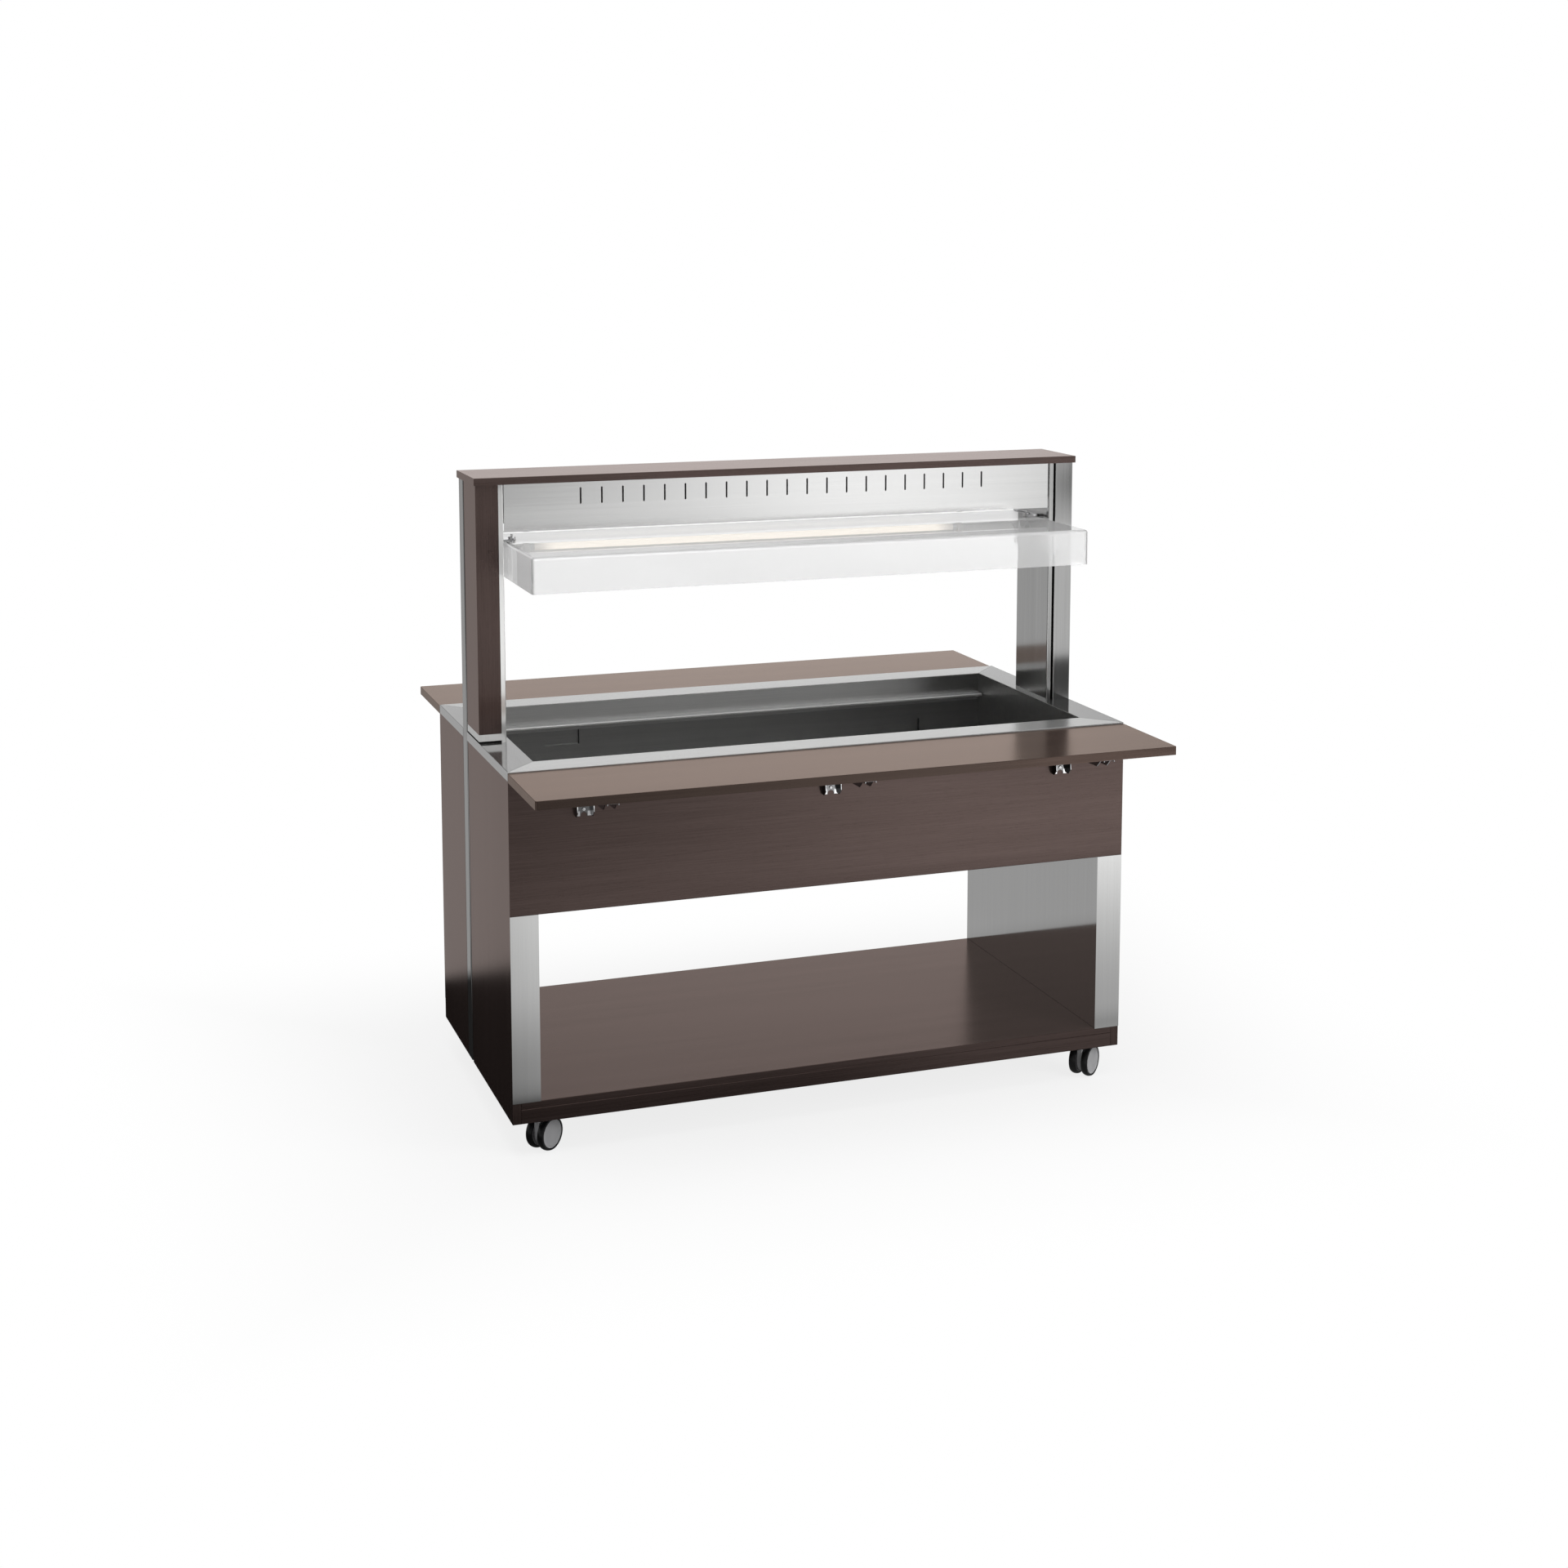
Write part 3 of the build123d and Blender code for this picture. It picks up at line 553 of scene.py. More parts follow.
@dataclass(frozen=True)
class BracketPlating(Finish):
    """Plated bracket legs with painted light: the back plate darkened as shade but for painted highlights on
    its toes, and the cheeks painted nearly black as shade with painted highlights along their edges.
    """

    colour: Colour = (0.78, 0.78, 0.79)
    roughness: float = 0.10
    pitch: float = 0.562
    cheek: float = 0.018
    cheek_from: float = 0.0168
    cheek_level: Ease = Ease(0.0006, 0.0009, 1.0, 0.03)
    plate_level: float = 0.28
    toe_out: Ease = Ease(0.0075, 0.0095)
    toe_top: Ease = Ease(0.7565, 0.7605, 1.0, 0.0)

    def paint(self, surface: Surface) -> None:
        """Paint the material's painted shade and highlights from the distance to the middle of the nearest
        bracket.

        Args:
            surface: The material's nodes.
        """
        x, _, z = surface.place()
        half = self.pitch / 2
        out = abs(half - abs(abs(x) - half))
        on_cheek = out > self.cheek_from
        # Painted light: cheeks nearly black as shade with painted highlights along their edges, and the
        # plate darkened as shade but for painted highlights on its toes.
        edge = self.cheek_level.of(abs(out - self.cheek))
        toe_highlight = self.toe_out.of(out) * self.toe_top.of(z)
        plate = toe_highlight * (1 - self.plate_level) + self.plate_level
        level = edge * on_cheek + plate * (1 - on_cheek)
        surface.set(
            Metallic=1.0,
            Base_Color=surface.mix(level, BLACK, self.colour),
            Roughness=self.roughness,
        )


@dataclass(frozen=True)
class Acrylic(Finish):
    """Clear bent acrylic with a little milky haze."""

    tint: Colour = (0.985, 0.985, 0.985)
    clarity: float = 0.72
    refraction: float = 1.49
    wiping: Streaks = Streaks(4.0, 30.0, 3.0)
    wiped_roughness: Ease = Ease(0.4, 0.8, 0.02, 0.05)

    def paint(self, surface: Surface) -> None:
        """Paint the material: clear with a faint veil of fine wiping marks.

        Args:
            surface: The material's nodes.
        """
        wiped = self.wiping.on(surface, Direction.LENGTHWISE)
        surface.set(Base_Color=self.tint, Transmission_Weight=self.clarity, IOR=self.refraction)
        surface.set(Roughness=self.wiped_roughness.of(wiped))


@dataclass(frozen=True)
class Enamel(Finish):
    """Gloss paint with an orange-peel surface."""

    colour: Colour
    peel: Speckle = Speckle(300.0)
    drift: Speckle = Speckle(5.0)
    drift_tones: Pair = (0.35, 0.70)
    drift_grey: float = 0.93
    roughness: float = 0.20
    peel_roughness: float = 0.10
    relief: Pair = (0.00005, 0.4)

    def paint(self, surface: Surface) -> None:
        """Paint a faint drift of grey under the peel.

        Args:
            surface: The material's nodes.
        """
        peel = self.peel.on(surface)
        drift = self.drift.on(surface)
        greyer = tinted(self.colour, self.drift_grey)
        surface.set(
            Base_Color=surface.ramp(drift, self.drift_tones, self.colour, greyer),
            Roughness=peel * self.peel_roughness + self.roughness,
        )
        surface.bump(peel, *self.relief)


@dataclass(frozen=True)
class LampGlass(Finish):
    """Lit opal tube between two metal end caps."""

    glow: Colour = (1.0, 0.90, 0.76)
    strength: float = 0.82
    middle: float = -0.064
    half_glass: float = 0.5115
    end_fade: float = 0.05
    end_glow: float = 0.25
    glass: Colour = (0.90, 0.89, 0.86)
    cap: Colour = (0.72, 0.72, 0.73)
    roughness: float = 0.22
    cap_roughness: float = 0.08

    def paint(self, surface: Surface) -> None:
        """Paint the material: the glass glows, dimmer at its ends, and the caps are bare metal.

        Args:
            surface: The material's nodes.
        """
        x, _, _ = surface.place()
        out = abs(x - self.middle)
        cap = out > self.half_glass
        lit = Ease(self.half_glass - self.end_fade, self.half_glass, 1.0, self.end_glow).of(out) * (1 - cap)
        surface.set(
            Base_Color=surface.mix(cap, self.glass, self.cap),
            Metallic=cap,
            Roughness=cap * self.cap_roughness + self.roughness,
            Emission_Color=surface.mix(lit, BLACK, self.glow),
            Emission_Strength=self.strength,
        )


@dataclass(frozen=True)
class Moulding(Finish):
    """Moulded plastic or rubber with a fine grain."""

    colour: Colour
    roughness: float = 0.35
    grain_depth: float = 0.00004
    grain_strength: float = 0.5
    grain: Speckle = Speckle(1400.0)
    drift: Speckle = Speckle(30.0, 3.0)
    drift_tones: Pair = (0.35, 0.70)
    drift_pale: float = 1.10
    grain_roughness: float = 0.12
    drift_roughness: float = 0.08

    def paint(self, surface: Surface) -> None:
        """Paint a faint drift of tone under the grain.

        Args:
            surface: The material's nodes.
        """
        grain = self.grain.on(surface)
        drift = self.drift.on(surface)
        paler = tinted(self.colour, self.drift_pale)
        surface.set(
            Base_Color=surface.ramp(drift, self.drift_tones, self.colour, paler),
            Roughness=grain * self.grain_roughness + drift * self.drift_roughness + self.roughness,
        )
        surface.bump(grain, self.grain_depth, self.grain_strength)


class Finishes:
    """The trolley's materials, each made once."""

    def __init__(self) -> None:
        """Make every material."""
        lengthwise, upright = Direction.LENGTHWISE, Direction.UPRIGHT
        self.wood_upright = Laminate("wood_upright", upright).material()
        self.wood_lengthwise = Laminate("wood_lengthwise", lengthwise).material()
        # The trays get a lighter copy of the lengthwise laminate, painted light for the stronger light on
        # their tops, with a yellower reflection tint and painted shade on their edge bands.
        self.wood_tray = Laminate(
            "wood_tray",
            lengthwise,
            dark=(0.053, 0.033, 0.028),
            light=(0.092, 0.062, 0.053),
            pearl_tint=(1.0, 0.77, 0.64),
            band_from=0.6097,
        ).material()
        counter = MitredSteel("steel_counter", lengthwise, (0.61, 0.61, 0.605), 0.25, mirror=0.8)
        self.counter = counter.material()
        self.well = WellSteel("steel_well", lengthwise, (0.50, 0.50, 0.495), 0.30).material()
        self.ledge = WellSteel(
            "steel_ledge",
            lengthwise,
            (0.70, 0.70, 0.695),
            0.30,
            ledge=0.8065,
            rim_y=0.0,
            satin=Ease(0.94, 1.06, 0.4, 0.0),
        ).material()
        self.post = BrushedSteel("steel_post", upright, (0.60, 0.60, 0.595), 0.11).material()
        post_box = BrushedSteel("steel_post_box", upright, (0.62, 0.62, 0.615), 0.05, 0.04, 0.02)
        self.post_box = post_box.material()
        # The end uprights get a darker copy of the post steel: painted shade for their place in the groove
        # between the end panels.
        end_upright = BrushedSteel("steel_upright", upright, (0.38, 0.378, 0.372), 0.11, mirror=0.9)
        self.upright = end_upright.material()
        self.trim = BrushedSteel("steel_trim", upright, (0.90, 0.90, 0.89), 0.12, mirror=0.6).material()
        self.foot = FootSteel("steel_foot", upright, (0.90, 0.90, 0.89), 0.12, mirror=0.6).material()
        self.liner = BrushedSteel("steel_liner", upright, (0.62, 0.62, 0.615), 0.07, 0.02, 0.03).material()
        light_box = BrushedSteel("steel_light_box", lengthwise, (0.78, 0.78, 0.775), 0.16, 0.02, 0.03)
        self.light_box = light_box.material()
        self.chrome = Plating("bright_chrome").material()
        self.bracket_leg = BracketPlating("bracket_leg").material()
        self.bracket_arm = Plating("bracket_arm", (0.42, 0.42, 0.43), 0.10).material()
        self.zinc = Plating("zinc_plating", (0.60, 0.60, 0.62), 0.24).material()
        self.acrylic = Acrylic("clear_acrylic").material()
        self.white = Enamel("white_enamel", (0.86, 0.86, 0.84)).material()
        self.lamp = LampGlass("lamp_glass").material()
        self.socket = Moulding("lamp_socket", (0.82, 0.82, 0.79)).material()
        self.castor_grey = Moulding("castor_grey", (0.50, 0.50, 0.51), 0.24).material()
        self.castor_hood = Moulding("castor_hood", (0.74, 0.74, 0.75), 0.24).material()
        self.tyre = Moulding("tyre_rubber", (0.012, 0.012, 0.0125), 0.20, 0.00003).material()


class Bench:
    """Helpers that model small pieces by hand tools, set copies of them in place and dress pieces."""

    @staticmethod
    def clear() -> None:
        """Deselect everything, so that an operator acts only on what comes next."""
        bpy.ops.object.select_all(action="DESELECT")

    @staticmethod
    def rod(sides: int, radius: float, height: float) -> bpy.types.Object:
        """Add a rod that stands on the origin, and go into edit mode on it.

        Args:
            sides: How many flat sides stand for the round.
            radius: Its radius.
            height: Its height.

        Returns:
            The rod.
        """
        Bench.clear()
        middle = (0.0, 0.0, height / 2)
        bpy.ops.mesh.primitive_cylinder_add(vertices=sides, radius=radius, depth=height, location=middle)
        bpy.ops.object.transform_apply(location=True)
        bpy.ops.object.mode_set(mode="EDIT")
        return bpy.context.object

    @staticmethod
    def pick_faces(piece: bpy.types.Object, wanted: Callable[[bpy.types.MeshPolygon], bool]) -> None:
        """Select faces of a piece in edit mode.

        Args:
            piece: The piece.
            wanted: Tells of each face whether it is selected.
        """
        bpy.ops.mesh.select_all(action="DESELECT")
        bpy.ops.object.mode_set(mode="OBJECT")
        for face in piece.data.polygons:
            face.select = wanted(face)
        bpy.ops.object.mode_set(mode="EDIT")

    @staticmethod
    def cut(piece: bpy.types.Object, cutter: bpy.types.Object) -> None:
        """Cut one mesh out of another.

        Args:
            piece: The mesh that is cut.
            cutter: What is cut out of it. It is removed.
        """
        Bench.clear()
        bpy.context.view_layer.objects.active = piece
        piece.select_set(True)
        taken = piece.modifiers.new("cut", "BOOLEAN")
        taken.object = cutter
        taken.solver = "EXACT"
        bpy.ops.object.modifier_apply(modifier=taken.name)
        bpy.data.objects.remove(cutter)

    @staticmethod
    def copies(source: bpy.types.Object, places: list[Matrix], name: str) -> bpy.types.Object:
        """Set copies of a modelled piece in place as one object at the origin.

        Args:
            source: The piece, modelled at the origin. It is removed.
            places: Where each copy goes.
            name: The new object's name.

        Returns:
            The object that holds all copies.
        """
        made = []
        for place in places:
            copy = source.copy()
            copy.data = source.data.copy()
            copy.data.transform(place)
            bpy.context.scene.collection.objects.link(copy)
            made.append(copy)
        bpy.data.objects.remove(source)
        Bench.clear()
        for copy in made:
            copy.select_set(True)
        bpy.context.view_layer.objects.active = made[0]
        bpy.ops.object.join()
        made[0].name = name
        made[0].data.name = name
        bpy.ops.object.shade_smooth_by_angle(angle=SMOOTH_ANGLE)
        Bench.clear()
        return made[0]

    @staticmethod
    def facing(point: Point, way: Point) -> Matrix:
        """Give the place of a piece that stands at a point with its top facing a given way."""
        turn = Vector(UP).rotation_difference(Vector(way))
        return Matrix.Translation(point) @ turn.to_matrix().to_4x4()

    @staticmethod
    def dress(material: bpy.types.Material, *names: str) -> None:
        """Give CAD nodes a finish.

        Args:
            material: The finish.
            names: The nodes.
        """
        for name in names:
            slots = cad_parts[name].data.materials
            slots.clear()
            slots.append(material)

    @staticmethod
    def fit(piece: bpy.types.Object, material: bpy.types.Material, body: str, slot: str) -> None:
        """Dress a new piece and let it ride on a body.

        Args:
            piece: The new piece.
            material: Its finish.
            body: The CAD body that it moves with.
            slot: Not used.
        """
        piece.data.materials.append(material)
        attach(piece, body)
        log.info("%s built", piece.name)


@dataclass(frozen=True)
class PanScrew:
    """Cross-recess pan-head screw, of which only the head shows."""

    radius: float = 0.0040
    height: float = 0.0022
    sides: int = 24
    round_share: float = 0.6
    round_steps: int = 3
    recess_width: float = 0.0011
    recess_depth: float = 0.0012
    recess_share: float = 1.2
    recess_taper: float = 0.6

    def model(self) -> bpy.types.Object:
        """Model one head that stands on the origin and faces up.

        Returns:
            The head.
        """
        head = Bench.rod(self.sides, self.radius, self.height)
        Bench.pick_faces(head, lambda face: face.normal.z > END_NORMAL)
        bpy.ops.mesh.bevel(offset=self.height * self.round_share, segments=self.round_steps, affect="EDGES")
        bpy.ops.object.mode_set(mode="OBJECT")
        for turn in (0.0, math.pi / 2):
            Bench.cut(head, self._blade(turn))
        return head

    def _blade(self, turn: float) -> bpy.types.Object:
        """Model one blade of the recess, narrowed towards its lower end.

        Args:
            turn: How far it is turned about the screw's axis.

        Returns:
            The blade.
        """
        Bench.clear()
        bpy.ops.mesh.primitive_cube_add(size=1.0, location=(0.0, 0.0, 0.0))
        blade = bpy.context.object
        top = (0.0, 0.0, self.height)
        size = (self.radius * self.recess_share, self.recess_width, 2 * self.recess_depth, 1.0)
        blade.data.transform(Matrix.Translation(top) @ Matrix.Rotation(turn, 4, "Z") @ Matrix.Diagonal(size))
        bpy.ops.object.mode_set(mode="EDIT")
        Bench.pick_faces(blade, lambda face: face.normal.z < -END_NORMAL)
        bpy.ops.transform.resize(value=(self.recess_taper, self.recess_taper, 1.0), center_override=top)
        bpy.ops.object.mode_set(mode="OBJECT")
        return blade


@dataclass
class Cabinet:
    """Base cabinet: end cheeks, aprons, shelf, counter, well, and the tray brackets' fixed legs and pins."""

    panels: tuple[str, ...] = (
        "left_front_panel",
        "left_rear_panel",
        "right_front_panel",
        "right_rear_panel",
    )
    boards: tuple[str, ...] = ("front_apron", "rear_apron", "shelf", "plinth_rails")

    def dress(self, finishes: Finishes) -> None:
        """Give the cabinet's nodes their finishes.

        Args:
            finishes: The trolley's materials.
        """
        Bench.dress(finishes.wood_upright, *self.panels)
        Bench.dress(finishes.wood_lengthwise, *self.boards)
        Bench.dress(finishes.counter, "counter")
        Bench.dress(finishes.well, "tub")
        Bench.dress(finishes.ledge, "pan_ledges")
        Bench.dress(finishes.liner, "left_liner", "right_liner")
        Bench.dress(finishes.upright, "left_upright", "right_upright")
        Bench.dress(finishes.bracket_leg, "tray_legs")
        Bench.dress(finishes.chrome, "tray_pins")
        log.info("cabinet dressed")


@dataclass
class Bridge:
    """Bridge over the counter: posts, top board, light box with its lamp, and the guard hood."""

    screw: PanScrew = PanScrew(radius=0.0048, height=0.003)
    screw_x: float = 0.654
    screw_y: float = 0.087
    screw_z: float = 1.294
    thumb_x: float = 0.632
    thumb_y: float = -0.026
    grip_low: float = 1.3035
    grip_high: float = 1.3065
    grip_radius: float = 0.0081
    ridges: int = 28
    ridge_height: float = 0.0005

    def dress(self, finishes: Finishes) -> None:
        """Give the bridge's nodes their finishes.

        Args:
            finishes: The trolley's materials.
        """
        Bench.dress(finishes.wood_upright, "left_post_box")
        Bench.dress(finishes.wood_lengthwise, "bridge_board")
        Bench.dress(finishes.trim, "left_post_cover")
        Bench.dress(finishes.foot, "left_post_foot")
        Bench.dress(finishes.post, "right_post_cover")
        Bench.dress(finishes.post_box, "right_post_box")
        Bench.dress(finishes.light_box, "light_housing")
        Bench.dress(finishes.white, "lamp_reflector", "ballast")
        Bench.dress(finishes.lamp, "lamp_tube")
        Bench.dress(finishes.socket, "lamp_holders")
        Bench.dress(finishes.acrylic, "guard")
        Bench.dress(finishes.chrome, "guard_clamps")
        log.info("bridge dressed")

    def build(self, finishes: Finishes) -> None:
        """Model the knurled grips of the guard's thumb nuts and the screws of its bars.

        Args:
            finishes: The trolley's materials.
        """
        thumbs = [
            Matrix.Translation((sign * self.thumb_x, self.thumb_y, self.grip_low))
            for sign in BOTH_WAYS
        ]
        grips = Bench.copies(self._grip(), thumbs, "thumb_nut_grips")
        Bench.fit(grips, finishes.chrome, "frame", "chrome")
        bars = [
            Bench.facing((sign * self.screw_x, self.screw_y, self.screw_z), (-sign, 0.0, 0.0))
            for sign in BOTH_WAYS
        ]
        screws = Bench.copies(self.screw.model(), bars, "guard_bar_screws")
        Bench.fit(screws, finishes.chrome, "frame", "chrome")

    def _grip(self) -> bpy.types.Object:
        """Model one knurled band, standing on the origin along +Z.

        Returns:
            The band.
        """
        grip = Bench.rod(2 * self.ridges, self.grip_radius, self.grip_high - self.grip_low)
        step = math.pi / self.ridges

        def is_ridge(face: bpy.types.MeshPolygon) -> bool:
            """Tell whether a face is one of every second face round the side."""
            around = math.atan2(face.normal.y, face.normal.x) % (2 * math.pi)
            return abs(face.normal.z) < SIDE_NORMAL and int(around / step) % 2 == 0

        Bench.pick_faces(grip, is_ridge)
        bpy.ops.mesh.extrude_faces_move(TRANSFORM_OT_shrink_fatten={"value": self.ridge_height})
        bpy.ops.object.mode_set(mode="OBJECT")
        return grip


@dataclass
class TraySlide:
    """Folding tray slide on one long side, on three folding brackets."""

    side: Side
    screw: PanScrew = PanScrew()
    bracket_x: tuple[float, ...] = (-0.562, 0.0, 0.562)
    plate_y: float = 0.3655
    plate_screw_z: float = 0.763
    arm_under: float = 0.831
    arm_screw_y: Pair = (0.44, 0.515)

    @property
    def body(self) -> str:
        """The CAD body that the tray rides on."""
        return f"{self.side.word}_tray_slide"

    def dress(self, finishes: Finishes) -> None:
        """Give the tray and its arms their finishes.

        Args:
            finishes: The trolley's materials.
        """
        Bench.dress(finishes.wood_tray, f"{self.side.word}_tray")
        Bench.dress(finishes.bracket_arm, f"{self.side.word}_tray_arms")
        log.info("%s tray dressed", self.side.word)

    def build(self, finishes: Finishes) -> None:
        """Set screws in the bracket legs, which stay with the frame, and in the arms, which fold.

        Args:
            finishes: The trolley's materials.
        """
        out = self.side.value
        on_legs = [
            Bench.facing((x, out * self.plate_y, self.plate_screw_z), (0.0, out, 0.0))
            for x in self.bracket_x
        ]
        under_arms = [
            Bench.facing((x, out * y, self.arm_under), DOWN)
            for x in self.bracket_x
            for y in self.arm_screw_y
        ]
        for places, part, body in ((on_legs, "leg", "frame"), (under_arms, "arm", self.body)):
            screws = Bench.copies(self.screw.model(), places, f"{self.side.word}_{part}_screws")
            Bench.fit(screws, finishes.chrome, body, "chrome")


@dataclass
class Castors:
    """Four twin-wheel swivel castors under the shelf."""

    corners: tuple[str, ...] = ("front_left", "front_right", "rear_left", "rear_right")
    wheels: tuple[str, ...] = ("inner", "outer")
    screw: PanScrew = PanScrew()
    spot_x: float = 0.654
    spot_y: float = 0.319
    plate_under: float = 0.110
    screw_reach: float = 0.017

    def dress(self, finishes: Finishes) -> None:
        """Give the castors' nodes their finishes.

        Args:
            finishes: The trolley's materials.
        """
        Bench.dress(finishes.zinc, "castor_plates")
        for corner in self.corners:
            Bench.dress(finishes.castor_hood, f"castor_{corner}_fork")
            Bench.dress(finishes.zinc, f"castor_{corner}_axle")
            for wheel in self.wheels:
                Bench.dress(finishes.castor_grey, f"castor_{corner}_{wheel}_wheel")
                Bench.dress(finishes.tyre, f"castor_{corner}_{wheel}_tyre")
        log.info("castors dressed")

    def build(self, finishes: Finishes) -> None:
        """Set four screws in each castor plate.

        Args:
            finishes: The trolley's materials.
        """
        spots = [(x * self.spot_x, y * self.spot_y) for x in BOTH_WAYS for y in BOTH_WAYS]
        steps = [(x * self.screw_reach, y * self.screw_reach) for x in BOTH_WAYS for y in BOTH_WAYS]
        places = [
            Bench.facing((spot_x + step_x, spot_y + step_y, self.plate_under), DOWN)
            for spot_x, spot_y in spots
            for step_x, step_y in steps
        ]
        screws = Bench.copies(self.screw.model(), places, "castor_plate_screws")
        Bench.fit(screws, finishes.zinc, "frame", "castor_steel")


@dataclass(frozen=True)
class Glow:
    """What the studio's surroundings show to polished faces: bright on the right, dimmer on the left."""

    ahead: Ease = Ease(-0.15, 0.20, 0.30, 1.28)
    ahead_slant: float = 0.3
    behind: Ease = Ease(-0.20, 0.30, 0.45, 0.98)
    behind_dip: Ease = Ease(0.42, 0.47, 0.0, 0.18)
    to_rear: Ease = Ease(-0.15, 0.15)

    def towards(self, x: Value, y: Value) -> Value:
        """Give the brightness towards a direction.

        Args:
            x: The direction's part along X.
            y: The direction's part along Y.

        Returns:
            The brightness.
        """
        ahead = self.ahead.of(x + y * self.ahead_slant)
        behind = self.behind.of(x) - self.behind_dip.of(x)
        rear = self.to_rear.of(y)
        return ahead * (1 - rear) + behind * rear


@dataclass(frozen=True)
class Surround:
    """Studio walls and ceiling: white to the camera, with dimmer parts and a window to polished faces."""

    glow: Glow = Glow()
    front: Ease = Ease(-0.2, 0.1, 1.0, 0.0)
    front_rise: Ease = Ease(0.0, 0.10)
    front_dim: Ease = Ease(0.32, 0.42, 0.50, 0.94)
    rear_dim: Ease = Ease(0.18, 0.42, 0.0, 0.40)
    window_left: Ease = Ease(0.0, 0.1)
    window_right: Ease = Ease(0.28, 0.36)
    window_rise: Ease = Ease(0.12, 0.18, 0.0, 0.8)
    fill_share: float = 0.34
    fill_least: float = 0.10

    def build(self) -> None:
        """Light the scene from all round."""
        world = bpy.data.worlds.new("studio")
        bpy.context.scene.world = world
        world.use_nodes = True
        shader = Shader(world.node_tree)
        x, y, z = shader.place("Generated")
        around = self.glow.towards(x, y)
        front = self.front.of(y)
        dim = front * (self.front_rise.of(z) * self.front_dim.of(x)) + (1 - front) * self.rear_dim.of(z)
        window = front * (self.window_left.of(x) - self.window_right.of(x)) * self.window_rise.of(z)
        mirrored = shader.mirrored()
        fill = around * self.fill_share + self.fill_least
        level = (around * (1 - dim) + window) * mirrored + fill * (1 - mirrored)
        shader.feed(world.node_tree.nodes["Background"].inputs["Color"], shader.seen().most(level))


@dataclass(frozen=True)
class Patch:
    """A painted pool of light or patch of painted shade on the studio floor, which polished faces mirror."""

    middle: Pair
    half: Pair
    edge: float
    level: float

    def share(self, x: Value, y: Value) -> Value:
        """Give the patch's level at a place on the floor, falling to 0 over its soft edge.

        Args:
            x: The place along X.
            y: The place along Y.

        Returns:
            The level.
        """
        out_x = abs(x - self.middle[0]) / self.half[0]
        out_y = abs(y - self.middle[1]) / self.half[1]
        return Ease(1.0 - self.edge, 1.0 + self.edge, self.level, 0.0).of(out_x.most(out_y))


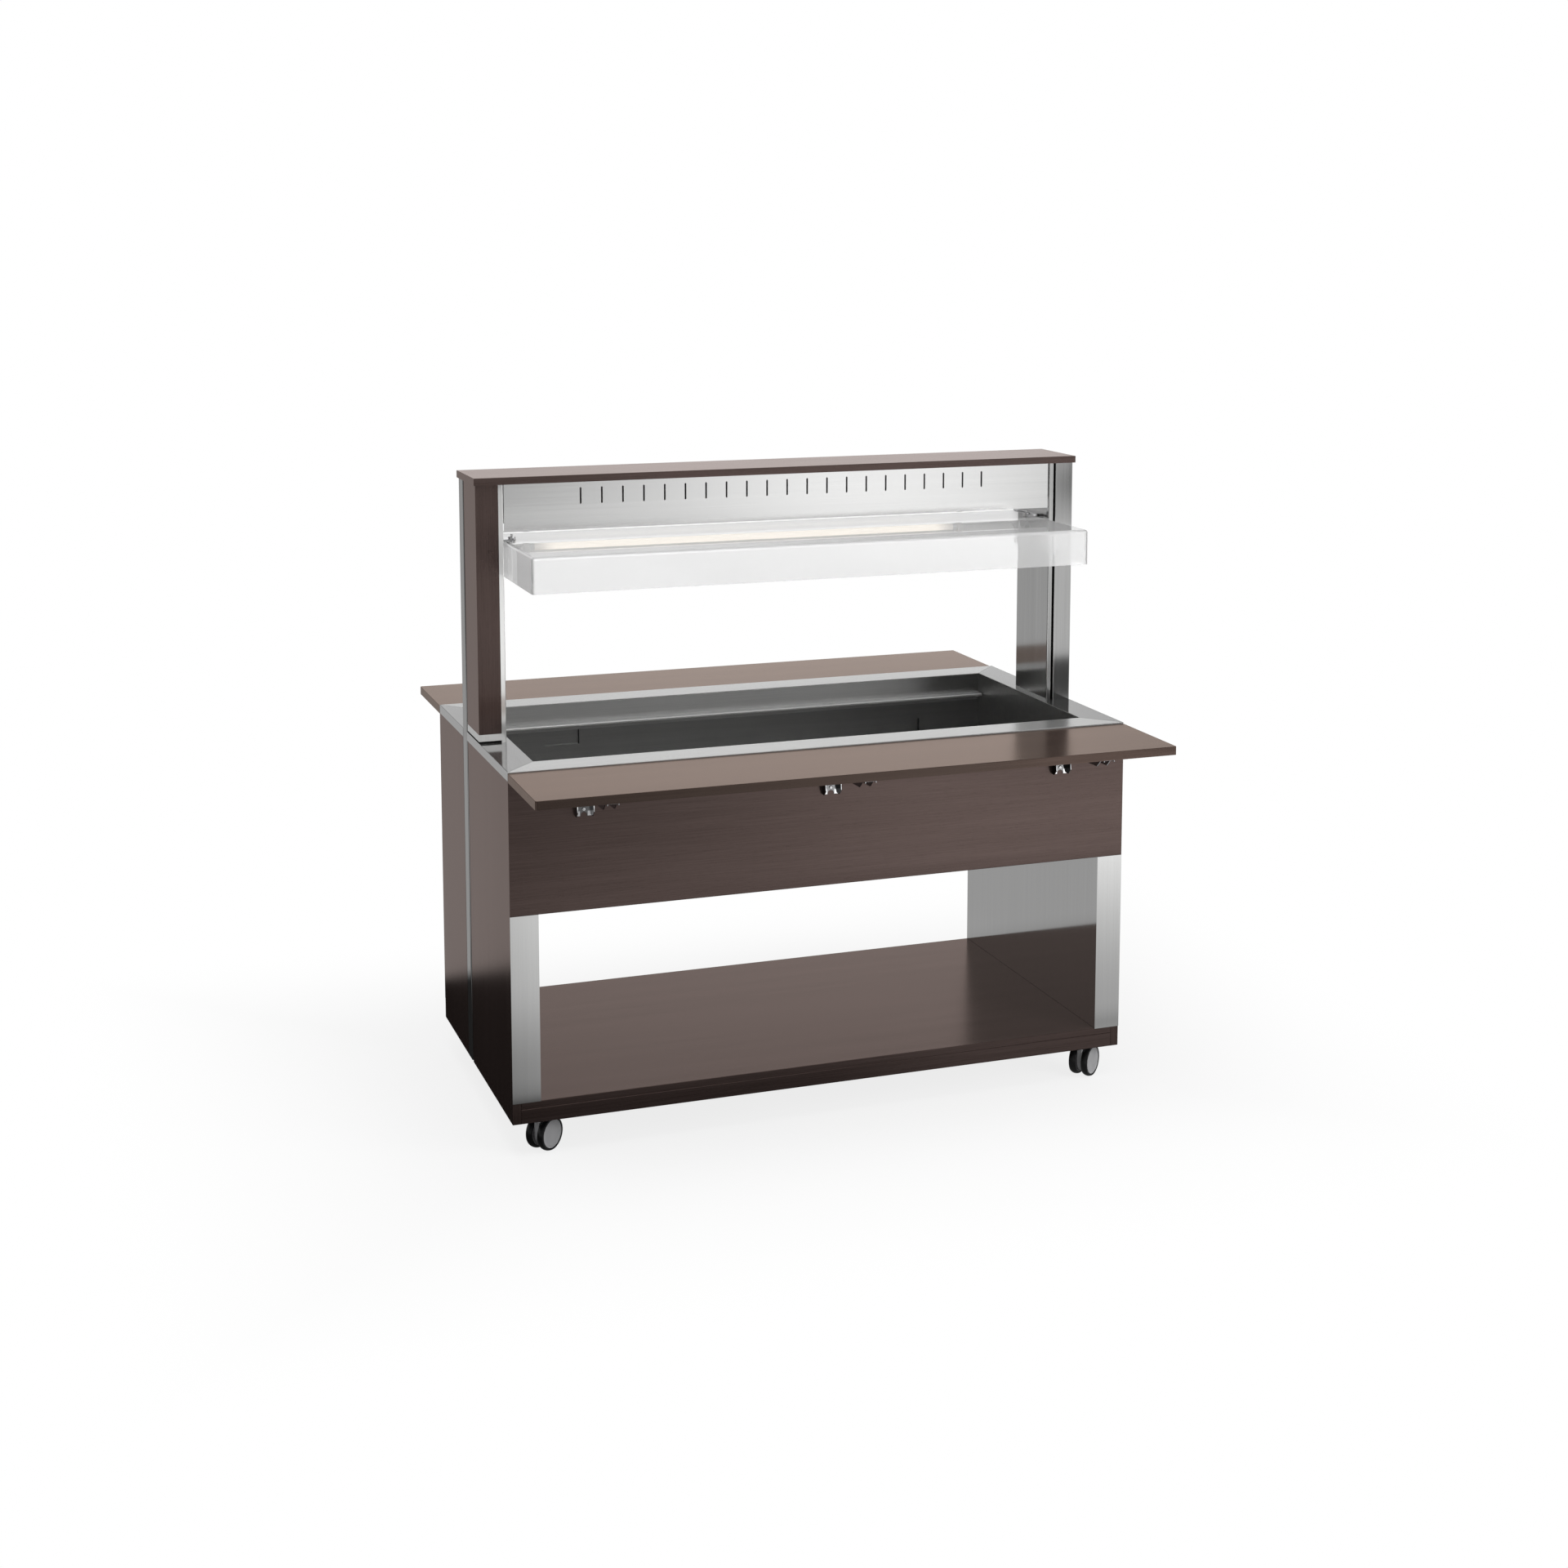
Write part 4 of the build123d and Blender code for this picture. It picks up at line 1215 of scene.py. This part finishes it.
@dataclass(frozen=True)
class Floor:
    """Floor that the camera sees white with a soft shadow, and that polished faces see with painted shade
    round the trolley and painted pools of light and shade in patches.
    """

    half: float = 14.0
    footprint: Pair = (0.73, 0.36)
    paper: Colour = (0.85, 0.85, 0.85)
    whiteness: Ease = Ease(0.0, 0.9, 0.82, 1.0)
    glow: Glow = Glow()
    glow_reach: float = 0.9
    near_shade: Ease = Ease(0.15, 0.50, 0.06, 0.42)
    near_rise: Ease = Ease(0.4, 2.2, 0.0, 0.58)
    far_fall: Ease = Ease(1.7, 2.6, 1.0, 0.50)
    far_rise: Ease = Ease(6.8, 8.6, 0.0, 0.60)
    corner_side: Ease = Ease(0.575, 0.60)
    corner_dim: Ease = Ease(8.0, 8.4, 0.0, 0.6)
    rear_slant: float = 0.15
    rear_left: Ease = Ease(0.70, 0.83, 0.02, 1.0)
    rear_right: Ease = Ease(0.0, 0.5, 0.3, 1.0)
    rear_to_right: Ease = Ease(-0.75, -0.60)
    rear_level: Ease = Ease(0.3, 1.4, 0.46, 0.85)
    front: Ease = Ease(-0.6, -0.3, 1.0, 0.0)
    fill_share: float = 0.5
    # Painted pools of light, then painted shade, on the floor that polished faces see.
    lighter: tuple[Patch, ...] = (
        Patch((2.1, -2.95), (1.15, 0.60), 0.45, 1.15),
        Patch((0.8, -6.9), (1.3, 2.4), 0.06, 0.90),
        Patch((-0.4, -1.9), (0.4, 0.75), 0.5, 0.25),
        Patch((0.75, -0.58), (0.45, 0.10), 0.6, 0.25),
        Patch((-3.2, -2.2), (2.1, 2.4), 0.1, 0.5),
    )
    darker: tuple[Patch, ...] = (
        Patch((-0.4, -0.56), (0.55, 0.12), 0.5, 0.85),
        Patch((2.8, -4.15), (0.55, 0.46), 0.2, 0.9),
        Patch((1.2, -12.5), (1.6, 4.0), 0.5, 0.55),
        Patch((6.9, -11.0), (1.2, 5.0), 0.5, 0.6),
    )

    def build(self) -> None:
        """Lay the floor."""
        Bench.clear()
        bpy.ops.mesh.primitive_plane_add(size=2 * self.half, location=(0.0, 0.0, 0.0))
        floor = bpy.context.object
        floor.name = "studio_floor"
        floor.data.materials.append(self._material())

    def _material(self) -> bpy.types.Material:
        """Build the material: pale paper and white for the camera, the patches for all other light.

        Returns:
            The material.
        """
        surface = Surface("studio_floor")
        x, y, _ = surface.place()
        away = (abs(x) - self.footprint[0]).most(abs(y) - self.footprint[1])
        front = self.front.of(y)
        tone = self._ahead(x, y, away) * front + self._behind(x, y, away) * (1 - front)
        tone = tone * (surface.mirrored() * (1 - self.fill_share) + self.fill_share)
        plain = surface.node("ShaderNodeEmission", {}, {"Color": tone})
        paper = surface.node("ShaderNodeBsdfDiffuse", {}, {"Color": self.paper})
        white = surface.node("ShaderNodeEmission", {}, {"Color": WHITE})
        whiteness = {0: self.whiteness.of(away), 1: paper.outputs[0], 2: white.outputs[0]}
        shown = surface.node("ShaderNodeMixShader", {}, whiteness)
        seen = {0: surface.seen(), 1: plain.outputs[0], 2: shown.outputs[0]}
        both = surface.node("ShaderNodeMixShader", {}, seen)
        surface.feed(surface.tree.nodes["Material Output"].inputs["Surface"], both.outputs[0])
        return surface.material

    def _ahead(self, x: Value, y: Value, away: Value) -> Value:
        """Give the level that polished faces see in front of the trolley.

        Args:
            x: The place along X.
            y: The place along Y.
            away: How far it is from the trolley's foot.

        Returns:
            The level.
        """
        reach = abs(x).most(abs(y)) + self.glow_reach
        aside = (x + self.glow_reach) / reach
        near = self.near_shade.of(away) + self.near_rise.of(away)
        far = self.far_fall.of(away) + self.far_rise.of(away)
        level = self.glow.towards(aside, y / reach) * near * far
        level = level * (1 - self.corner_side.of(aside) * self.corner_dim.of(away))
        for patch in self.lighter:
            level = level + patch.share(x, y)
        for patch in self.darker:
            level = level * (1 - patch.share(x, y))
        return level

    def _behind(self, x: Value, y: Value, away: Value) -> Value:
        """Give the level that polished faces see behind the trolley.

        Args:
            x: The place along X.
            y: The place along Y.
            away: How far it is from the trolley's foot.

        Returns:
            The level.
        """
        right = self.rear_to_right.of(x)
        left_level = self.rear_left.of(y + x * self.rear_slant)
        level = left_level * (1 - right) + self.rear_right.of(away) * right
        return level * self.rear_level.of(x)


@dataclass(frozen=True)
class SoftBox:
    """A soft box that lights the trolley and isn't mirrored by it."""

    name: str
    at: Point
    to: Point
    size: Pair
    watts: float

    def hang(self) -> None:
        """Hang the box so that it faces the point that it lights."""
        light = bpy.data.lights.new(self.name, "AREA")
        light.shape = "RECTANGLE"
        light.size, light.size_y = self.size
        light.energy = self.watts
        box = bpy.data.objects.new(self.name, light)
        box.visible_glossy = False
        box.location = self.at
        box.rotation_euler = (Vector(self.to) - Vector(self.at)).to_track_quat("-Z", "Y").to_euler()
        bpy.context.scene.collection.objects.link(box)


@dataclass(frozen=True)
class Camera:
    """Camera at the photograph's place, with its lens and framing."""

    at: Point = (-1.7672, -5.0055, 2.0042)
    down: float = 7.233
    turn: float = -19.658
    lens: float = 52.81
    sensor: float = 36.0
    shift_up: float = -0.1730
    sees_to: float = 100.0

    def build(self) -> None:
        """Set the camera up."""
        data = bpy.data.cameras.new("camera")
        data.sensor_fit = "HORIZONTAL"
        data.sensor_width = self.sensor
        data.lens = self.lens
        data.shift_y = self.shift_up
        data.clip_end = self.sees_to
        camera = bpy.data.objects.new("camera", data)
        camera.location = self.at
        camera.rotation_euler = (math.radians(90.0 - self.down), 0.0, math.radians(self.turn))
        bpy.context.scene.collection.objects.link(camera)
        bpy.context.scene.camera = camera


@dataclass
class Studio:
    """White studio: surroundings, floor, soft boxes and the camera."""

    surround: Surround = Surround()
    floor: Floor = Floor()
    soft_boxes: tuple[SoftBox, ...] = (
        SoftBox("key", (2.2, -2.4, 1.3), (0.3, -0.3, 0.6), (1.2, 1.6), 38.0),
        SoftBox("top", (-0.6, -1.2, 4.2), (0.0, 0.0, 0.8), (3.0, 2.4), 95.0),
        SoftBox("side", (-2.8, 0.2, 1.0), (-0.7, 0.0, 0.7), (1.5, 1.5), 9.0),
    )
    camera: Camera = Camera()

    def build(self) -> None:
        """Set up the whole studio."""
        bpy.context.scene.view_settings.view_transform = "Standard"
        self.surround.build()
        self.floor.build()
        for box in self.soft_boxes:
            box.hang()
        self.camera.build()
        log.info("studio ready")


def main() -> None:
    """Dress the trolley, add its small fittings and set up the studio."""
    logging.basicConfig(level=logging.INFO, format="%(name)s: %(message)s")
    finishes = Finishes()
    Cabinet().dress(finishes)
    for part in (Bridge(), TraySlide(Side.FRONT), TraySlide(Side.REAR), Castors()):
        part.dress(finishes)
        part.build(finishes)
    Studio().build()


if __name__ == "__main__":
    main()
